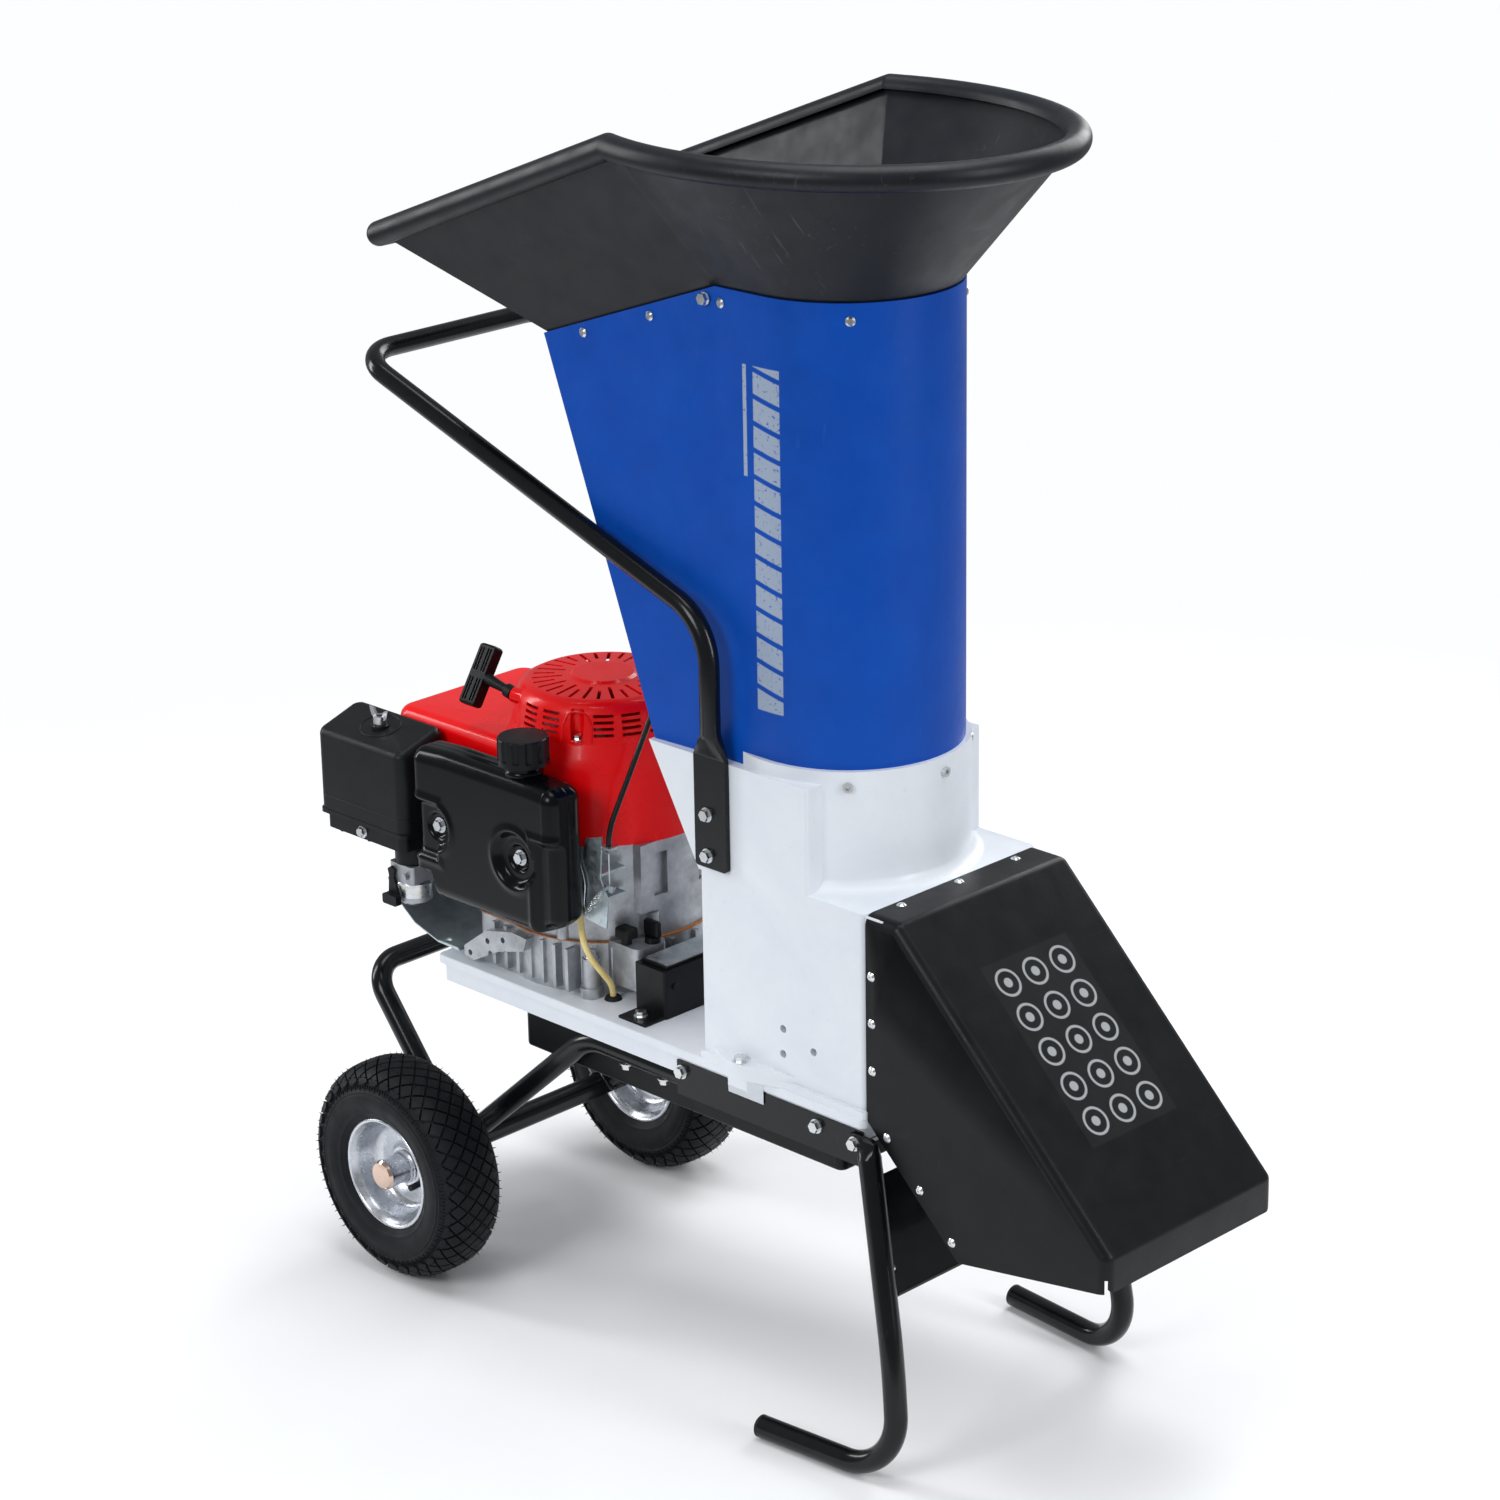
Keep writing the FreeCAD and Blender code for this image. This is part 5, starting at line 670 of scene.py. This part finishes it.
# ------------------------------------------------------------------ rims
def lathe(name, profile, side, sign, segs=128):
    """Closed profile of (radius, offset) in millimetres, turned round a wheel's axis."""
    verts, faces = [], []
    n = len(profile)
    for j in range(segs):
        a = TAU * j / segs
        for r, y in profile:
            verts.append((WHEEL_X + r / 1000 * math.cos(a), sign * WHEEL_Y + sign * y / 1000,
                          WHEEL_Z + r / 1000 * math.sin(a)))
    for j in range(segs):
        for i in range(n):
            a, b = j * n + i, j * n + (i + 1) % n
            c, d = ((j + 1) % segs) * n + (i + 1) % n, ((j + 1) % segs) * n + i
            faces.append((a, b, c, d) if sign > 0 else (d, c, b, a))
    return piece(name, verts, faces, CHROME, "wheel_" + side)


RIM_FACE = [(66.6, 32.2), (66.4, 34.0), (64.6, 35.0), (62.6, 34.2), (60.8, 31.6), (58.6, 28.2), (57.0, 24.0),
            (55.6, 17.0), (53.6, 9.5), (50.6, 3.6), (46.2, 0.3), (41.0, -0.9), (34.0, -1.2), (29.0, -0.9),
            (26.2, 0.9), (24.6, 3.6), (22.6, 5.0), (20.0, 5.0), (18.0, 6.2), (17.1, 9.2), (17.0, 14.0)]
RIM_HUB = [(17.0, 34.4), (14.5, 34.4), (14.5, -30.0)]
RIM_BACK = [(17.0, -30.0), (17.0, -12.0), (19.0, -8.0), (24.0, -6.6), (40.0, -6.4), (47.0, -8.0),
            (51.5, -12.0), (54.5, -20.0), (57.2, -27.5), (60.6, -31.8), (63.6, -35.0), (66.6, -33.6),
            (66.0, -27.4)]
RIM_WELL = [(59.0, -25.0), (53.2, -12.0), (53.2, 6.0), (59.0, 25.0), (65.6, 28.0)]


def rim(side, sign):
    """Pressed rim: dished face, hub tube, back and tyre well, with a weld bead round the hub."""
    face = [tuple(q) for q in smooth_line(RIM_FACE, 4)]
    back = [tuple(q) for q in smooth_line(RIM_BACK, 3)]
    o = lathe("rim_body_" + side, face + RIM_HUB + back + RIM_WELL, side, sign)
    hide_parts("wheel_rim_" + side)
    weld = [(18.4 + 1.1 * math.cos(a), 9.0 + 1.3 * math.sin(a)) for a in np.linspace(0, TAU, 9)[:-1]]
    lathe("rim_weld_" + side, weld, side, sign)


for side, sign in SIDES:
    rim(side, sign)


# ------------------------------------------------------------------ fuel tank
def ease(a, b, x):
    t = np.clip((x - a) / (b - a), 0, 1)
    return t * t * (3 - 2 * t)


def block_grid(lo, hi, radius, steps):
    """Vertices and quads of a rounded box, each face a fine grid."""
    lo, hi = np.array(lo, float), np.array(hi, float)
    verts, faces, seen = [], [], {}

    def at(p):
        q = np.clip(p, lo + radius, hi - radius)
        d = p - q
        n = np.linalg.norm(d)
        return q + d * (radius / n) if n > 1e-9 else p

    def index(p):
        key = tuple(np.round(p, 6))
        if key not in seen:
            seen[key] = len(verts)
            verts.append(at(np.array(p)))
        return seen[key]

    for axis in range(3):
        u, v = (axis + 1) % 3, (axis + 2) % 3
        nu, nv = steps[u], steps[v]
        for side, value in ((0, lo[axis]), (1, hi[axis])):
            for i in range(nu):
                for j in range(nv):
                    quad = []
                    for a, b in ((i, j), (i + 1, j), (i + 1, j + 1), (i, j + 1)):
                        p = np.zeros(3)
                        p[axis] = value
                        p[u] = lo[u] + (hi[u] - lo[u]) * a / nu
                        p[v] = lo[v] + (hi[v] - lo[v]) * b / nv
                        quad.append(index(p))
                    faces.append(tuple(quad if side else quad[::-1]))
    return np.array(verts), faces


def hill(x, mid, wide):
    return np.exp(-((x - mid) / wide) ** 2)


TANK_LOW, TANK_HIGH = (-0.410, -0.174, 0.4635), (-0.174, -0.1235, 0.640)
TANK_ROUND = 0.0165
TANK_BOLTS = ((-0.372, 0.549), (-0.239, 0.545))         # X and Z of the rear and the front bolt
TANK_SEAM_Y = -0.1495
NECK_AT = (-0.246, -0.146)


def tank_relief(x, z):
    """Depth of the notch and the lobe round the two bolts, less the bead along their edges."""
    (rear_x, rear_z), (front_x, front_z) = TANK_BOLTS
    d1 = np.hypot(x - rear_x, z - rear_z)
    d2 = np.hypot(x - front_x, z - front_z)
    notch = np.minimum(d1 - 0.024, np.maximum(x - (rear_x + 0.004), np.maximum(0.514 - z, z - 0.575)))
    lobe = np.minimum(d2 - 0.029, np.maximum(-0.206 - x, z - 0.573))
    deep = 0.0072 * ease(0.004, -0.004, notch) + 0.0080 * ease(0.0045, -0.0045, lobe)
    deep += 0.0055 * ease(0.0165, 0.0125, d1) + 0.0055 * ease(0.0165, 0.0125, d2)
    return deep - 0.0016 * (hill(lobe, 0.006, 0.004) + hill(notch, 0.006, 0.004))


def tank_outline(x, z):
    """Height after the low crown on top, the lifted rear corner and the raised front of the floor."""
    (x0, y0, _), (x1, y1, z1) = TANK_LOW, TANK_HIGH
    crown = 0.0030 * ease(x0, x0 + 0.06, x) * ease(x1, x1 - 0.05, x)
    top = (crown - 0.0031) * ease(0.60, z1, z)
    lift = 0.024 * ease(-0.3705, -0.3800, x) * ease(0.500, 0.470, z)
    tail = 0.012 * ease(-0.215, -0.176, x) * ease(0.500, 0.466, z)
    return z + top + lift + tail


def turned(name, profile, at, material, body, segs=72, angle=40):
    """Closed profile of (radius, z) in metres, turned round a vertical axis."""
    verts, faces = [], []
    n = len(profile)
    for j in range(segs):
        a = TAU * j / segs
        verts += [(at[0] + r * math.cos(a), at[1] + r * math.sin(a), z) for r, z in profile]
    for j in range(segs):
        for i in range(n):
            k, m = (i + 1) % n, (j + 1) % segs
            faces.append((j * n + i, m * n + i, m * n + k, j * n + k))
    return piece(name, verts, faces, material, body, angle=angle)


def tank():
    """Blow-moulded tank: rounded block, stepped round both bolts, its lower rear corner cut away."""
    v, f = block_grid(TANK_LOW, TANK_HIGH, TANK_ROUND, (120, 30, 92))
    x, y, z = v[:, 0].copy(), v[:, 1].copy(), v[:, 2].copy()
    front = ease(-0.150, -0.166, y)
    seam = 0.0006 * hill(x, TANK_HIGH[0] - 0.016, 0.0008)
    y2 = y + front * (tank_relief(x, z) + 0.0013 - seam)
    middle = [(low + high) / 2 for low, high in zip(TANK_LOW, TANK_HIGH)]
    out = np.stack([x - middle[0], 0 * x, z - middle[2]], 1)
    out /= np.maximum(np.linalg.norm(out, axis=1), 1e-6)[:, None]
    bead = 0.0007 * hill(y, TANK_SEAM_Y, 0.0011)
    v = np.stack([x, y2, tank_outline(x, z)], 1) + out * bead[:, None]
    o = piece("tank_shell", v, f, TANK, "base", angle=60)
    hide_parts("fuel_tank")
    neck = [(0.0165, 0.634), (0.0200, 0.634), (0.0200, 0.6485), (0.0165, 0.6485)]
    turned("tank_neck", neck, NECK_AT, TANK, "base")
    turns = np.linspace(0, TAU, 11)[:-1]
    collar = [(0.0195 + 0.0022 * math.cos(a), 0.6405 + 0.0035 * math.sin(a)) for a in turns]
    turned("tank_collar", collar, NECK_AT, TANK, "base")


tank()


# ------------------------------------------------------------------ small parts
def tube(name, points, radius, material, body="base", seg=12, closed=False, per=6, ripple=0.0):
    """Round bar along a smooth line through the given points; ripple swells it from point to point."""
    line = [np.array(q, float) for q in (points if closed else smooth_line(points, per))]
    n = len(line)
    verts, faces = [], []
    side = None
    for i, q in enumerate(line):
        ahead = line[(i + 1) % n] if closed or i + 1 < n else q
        behind = line[i - 1] if closed or i else q
        t = ahead - behind
        t = t / np.linalg.norm(t)
        if side is None:
            side = np.cross(t, (0.0, 0.0, 1.0) if abs(t[2]) < 0.9 else (1.0, 0.0, 0.0))
        side = side - t * np.dot(side, t)
        side = side / np.linalg.norm(side)
        up = np.cross(t, side)
        for k in range(seg):
            a = TAU * k / seg
            r = radius * (1 + ripple * math.sin(2.1 * i))
            verts.append(tuple(q + r * (math.cos(a) * side + math.sin(a) * up)))
    for i in range(n if closed else n - 1):
        m = (i + 1) % n
        for k in range(seg):
            j = (k + 1) % seg
            faces.append((i * seg + k, m * seg + k, m * seg + j, i * seg + j))
    if not closed:
        faces.append(tuple(range(seg)))
        faces.append(tuple((n - 1) * seg + k for k in reversed(range(seg))))
    return piece(name, verts, faces, material, body, angle=50)


def round_frame(x0, x1, y0, y1, r, z, seg=8):
    """Points of a level rounded rectangle."""
    out = []
    corners = ((x1 - r, y1 - r, 0), (x0 + r, y1 - r, 90), (x0 + r, y0 + r, 180), (x1 - r, y0 + r, 270))
    for cx, cy, a0 in corners:
        for k in range(seg + 1):
            a = math.radians(a0 + 90 * k / seg)
            out.append((cx + r * math.cos(a), cy + r * math.sin(a), z))
    return out


def hexagon_bolt(name, at, axis, across=0.010, high=0.0055, washer=0.0075):
    """Flanged hexagon head standing on a face along an axis."""
    n = Vector(axis).normalized()
    u = n.orthogonal().normalized()
    w = n.cross(u)
    seg = 24
    flange = [(washer, -0.001), (washer, 0.0006), (washer * 0.92, 0.0014)]
    flats = [(None, 0.0016), (None, high - 0.0008)]
    crown = [(across * 0.48, high), (across * 0.30, high)]
    verts = []
    for radius, height in flange + flats + crown:
        for k in range(seg):
            a = TAU * k / seg
            q = radius or across / 2 / max(math.cos((a % (TAU / 6)) - TAU / 12), 0.5)
            verts.append(tuple(Vector(at) + u * (q * math.cos(a)) + w * (q * math.sin(a)) + n * height))
    rows = len(verts) // seg
    faces = []
    for i in range(rows - 1):
        for k in range(seg):
            j = (k + 1) % seg
            faces.append((i * seg + k, i * seg + j, (i + 1) * seg + j, (i + 1) * seg + k))
    faces.append(tuple((rows - 1) * seg + k for k in range(seg)))
    return piece(name, verts, faces, ZINC, "base", angle=32)


NUT_X, NUT_Y, NUT_Z = -0.500, -0.135, 0.6293         # where the wing nut's axis meets the cover's top
TOP_SLOPE = 0.3235                                    # rise of the cover's top along Y


def filter_details():
    """Oval bead round the wing nut, and a seam bead round the cover."""
    oval = []
    for k in range(64):
        a = TAU * k / 64
        x, y = NUT_X + 0.027 * math.cos(a), NUT_Y + 0.020 * math.sin(a)
        oval.append((x, y, NUT_Z + TOP_SLOPE * (y - NUT_Y)))
    tube("cover_oval", oval, 0.0010, FILTER_COVER, closed=True)
    seam = round_frame(-0.5733, -0.4263, -0.1698, -0.1022, 0.0127, 0.5400)
    tube("cover_seam", seam, 0.0007, FILTER_COVER, closed=True)


BOWL_AT = (-0.454, -0.134)


def carburettor_details():
    """Bright float bowl with a rolled rim."""
    bowl = [(0.0, 0.4265), (0.0060, 0.4265), (0.0150, 0.4285), (0.0190, 0.4330), (0.0203, 0.4390),
            (0.0203, 0.4520), (0.0222, 0.4530), (0.0226, 0.4550), (0.0215, 0.4566), (0.0, 0.4566)]
    turned("carb_bowl", bowl, BOWL_AT, ZINC, "base")


def box_plate():
    """Thin bright plate on the control box."""
    low, high = 0.4348, 0.4358
    outline = round_frame(-0.1265, -0.0895, -0.0860, 0.0060, 0.004, low, 5)
    n = len(outline)
    verts = outline + [(x, y, high) for x, y, z in outline]
    faces = [tuple(range(n))[::-1], tuple(range(n, 2 * n))]
    faces += [(k, (k + 1) % n, n + (k + 1) % n, n + k) for k in range(n)]
    piece("box_plate", verts, faces, GALV, "base", angle=30)


def governor_details():
    """Coil spring and link rod between the governor levers."""
    turns, steps = 11, 12
    coil_r, wire_r = 0.0026, 0.0005
    a, b = np.array((-0.176, -0.1245, 0.487)), np.array((-0.152, -0.1245, 0.516))
    axis = (b - a) / np.linalg.norm(b - a)
    u = np.cross(axis, (0.0, 1.0, 0.0))
    w = np.cross(axis, u)
    coil = []
    for i in range(turns * steps + 1):
        t = i / (turns * steps)
        q = TAU * i / steps
        coil.append(a + (b - a) * t + coil_r * (math.cos(q) * u + math.sin(q) * w))
    tube("governor_spring", coil, wire_r, ZINC, seg=6, per=1)
    rod = [(x, -0.1240, z) for x, z in ((-0.186, 0.545), (-0.178, 0.520), (-0.180, 0.494), (-0.172, 0.480))]
    tube("governor_rod", rod, 0.0009, ZINC, seg=8)


CRANK_X = -0.271
RECOIL_SCREWS = (-61.0, 59.0, 179.0)      # angles of the starter cover's screws


def recoil_arches():
    """Raised red arch round each of the starter cover's three screws."""
    top, slope = 0.6960, 0.2059            # the cover's wall widens downwards from here
    for i, mid in enumerate(RECOIL_SCREWS):
        line = []
        for k in range(33):
            u = -1 + k / 16
            z = 0.6645 + 0.0330 * (1 - abs(u) ** 3.2)
            r = 0.0970 + (top - min(z, top)) * slope + 0.0002
            a = math.radians(mid + 9.5 * math.copysign(min(abs(u) * 1.25, 1.0), u))
            line.append((CRANK_X + r * math.cos(a), r * math.sin(a), z))
        tube("recoil_arch_%d" % (i + 1), line, 0.0013, RED, per=1)


FRAME_TUBE_R = 0.0125
SLEEVE_R = 0.0142
FRAME_TUBE_Y = 0.117
TUBE_RUNS = {"loop": (-0.1375, 0.171), "strut": (0.2205, 0.1945)}    # X and Z of each run from the axle


def weld_beads():
    """Rippled weld round each frame tube where it meets the axle sleeve."""
    axle = np.array((WHEEL_X, 0.0, WHEEL_Z))
    for kind, (dx, dz) in TUBE_RUNS.items():
        axis = np.array((dx, 0.0, dz)) / math.hypot(dx, dz)
        across = np.array((-axis[2], 0.0, axis[0]))
        for side, sign in SIDES:
            line = []
            for k in range(48):
                a = TAU * k / 48
                w, u = FRAME_TUBE_R * math.sin(a), FRAME_TUBE_R * math.cos(a)
                away = math.sqrt(SLEEVE_R ** 2 - w * w) + 0.0008
                offset = np.array((0.0, sign * FRAME_TUBE_Y + u * 1.04, 0.0))
                line.append(axle + axis * away + across * w * 1.04 + offset)
            name = "weld_%s_%s" % (kind, side)
            tube(name, line, 0.0021, BLACK_TUBE, closed=True, ripple=0.22)


def filter_bolts():
    """Flanged bolts on the filter base: one at its rear end, one on its near side."""
    hexagon_bolt("filter_bolt_rear", (-0.5680, -0.1350, 0.5085), (-1, 0, 0))
    hexagon_bolt("filter_bolt_side", (-0.5030, -0.1660, 0.5088), (0, -1, 0))


filter_details()
carburettor_details()
box_plate()
governor_details()
recoil_arches()
weld_beads()
filter_bolts()


# ------------------------------------------------------------------ camera, floor and light
CAMERA_AT = (2.88974, -2.93371, 2.17140)
CAMERA_AZIMUTH, CAMERA_HEIGHT, CAMERA_ROLL = 44.9948, 19.8442, -0.98632      # degrees
CAMERA_LENS = 98.29


def camera():
    """Camera at its place and angles round the machine."""
    az, el, roll = (math.radians(a) for a in (CAMERA_AZIMUTH, CAMERA_HEIGHT, CAMERA_ROLL))
    back = Vector((math.sin(az) * math.cos(el), -math.cos(az) * math.cos(el), math.sin(el)))
    right = Vector((math.cos(az), math.sin(az), 0))
    up = back.cross(right)
    rolled_right = right * math.cos(roll) + up * math.sin(roll)
    rolled_up = -right * math.sin(roll) + up * math.cos(roll)
    data = bpy.data.cameras.new("camera")
    data.lens, data.sensor_width = CAMERA_LENS, 36
    data.clip_start, data.clip_end = 0.1, 60
    cam = bpy.data.objects.new("camera", data)
    turn = Matrix((rolled_right, rolled_up, back)).transposed().to_4x4()
    turn.translation = Vector(CAMERA_AT)
    cam.matrix_world = turn
    bpy.context.scene.collection.objects.link(cam)
    bpy.context.scene.camera = cam


FLOOR_RADIUS = 2.7


def floor():
    """Pale round floor that fades out before its edge."""
    s = Shade("floor", (0.90, 0.91, 0.93), 0.7, spec=0.25)
    s.plug("Base Color", s.mix(s.span(s.noise(3, 4), 0.3, 0.7), (0.88, 0.89, 0.91), (0.91, 0.92, 0.935)))
    s.bump(s.noise(60, 3), 0.02, 0.001)
    x, y, z = s.xyz()
    away = s.math("SQRT", s.math("ADD", s.math("MULTIPLY", x, x), s.math("MULTIPLY", y, y)))
    s.plug("Alpha", s.span(away, 1.1, 2.6, 1.0, 0.0))
    me = bpy.data.meshes.new("floor")
    seg = 64
    turns = [TAU * i / seg for i in range(seg)]
    edge = [(FLOOR_RADIUS * math.cos(a), FLOOR_RADIUS * math.sin(a), 0) for a in turns]
    me.from_pydata(edge, [], [tuple(range(seg))])
    o = bpy.data.objects.new("floor", me)
    me.materials.append(s.mat)
    bpy.context.scene.collection.objects.link(o)


LOOK_AT = (0.05, 0, 0.7)


def area(name, at, size, power):
    """Soft rectangular lamp turned towards the machine's middle."""
    data = bpy.data.lights.new(name, "AREA")
    data.shape = "RECTANGLE"
    data.size, data.size_y = size
    data.energy = power
    o = bpy.data.objects.new(name, data)
    o.location = at
    o.rotation_mode = "QUATERNION"
    o.rotation_quaternion = (Vector(LOOK_AT) - Vector(at)).to_track_quat("-Z", "Y")
    bpy.context.scene.collection.objects.link(o)


LAMPS = (
    ("key", (0.2, -4.2, 3.0), (1.8, 1.8), 82),
    ("strip_right", (3.6, 0.6, 2.0), (0.6, 2.4), 52),
    ("strip_left", (-3.4, -1.4, 1.8), (0.7, 2.4), 50),
    ("top", (0.2, 0.2, 4.4), (3.0, 3.0), 118),
    ("back", (-0.6, 3.4, 2.4), (2.0, 2.0), 60),
)


def studio():
    """Dim sky for the reflections, white where the camera sees it, and soft lamps."""
    world = bpy.data.worlds.new("studio")
    world.use_nodes = True
    tree = world.node_tree
    bg = tree.nodes["Background"]
    bg.inputs[0].default_value = (0.93, 0.96, 1.0, 1)
    bg.inputs[1].default_value = 0.30
    white = tree.nodes.new("ShaderNodeBackground")
    white.inputs[0].default_value = (0.985, 0.99, 1.0, 1)
    white.inputs[1].default_value = 1.0
    path = tree.nodes.new("ShaderNodeLightPath")
    both = tree.nodes.new("ShaderNodeMixShader")
    tree.links.new(path.outputs["Is Camera Ray"], both.inputs[0])
    tree.links.new(bg.outputs[0], both.inputs[1])
    tree.links.new(white.outputs[0], both.inputs[2])
    tree.links.new(both.outputs[0], tree.nodes["World Output"].inputs[0])
    bpy.context.scene.world = world
    for light in LAMPS:
        area(*light)
    bpy.context.scene.view_settings.view_transform = "Standard"


camera()
floor()
studio()
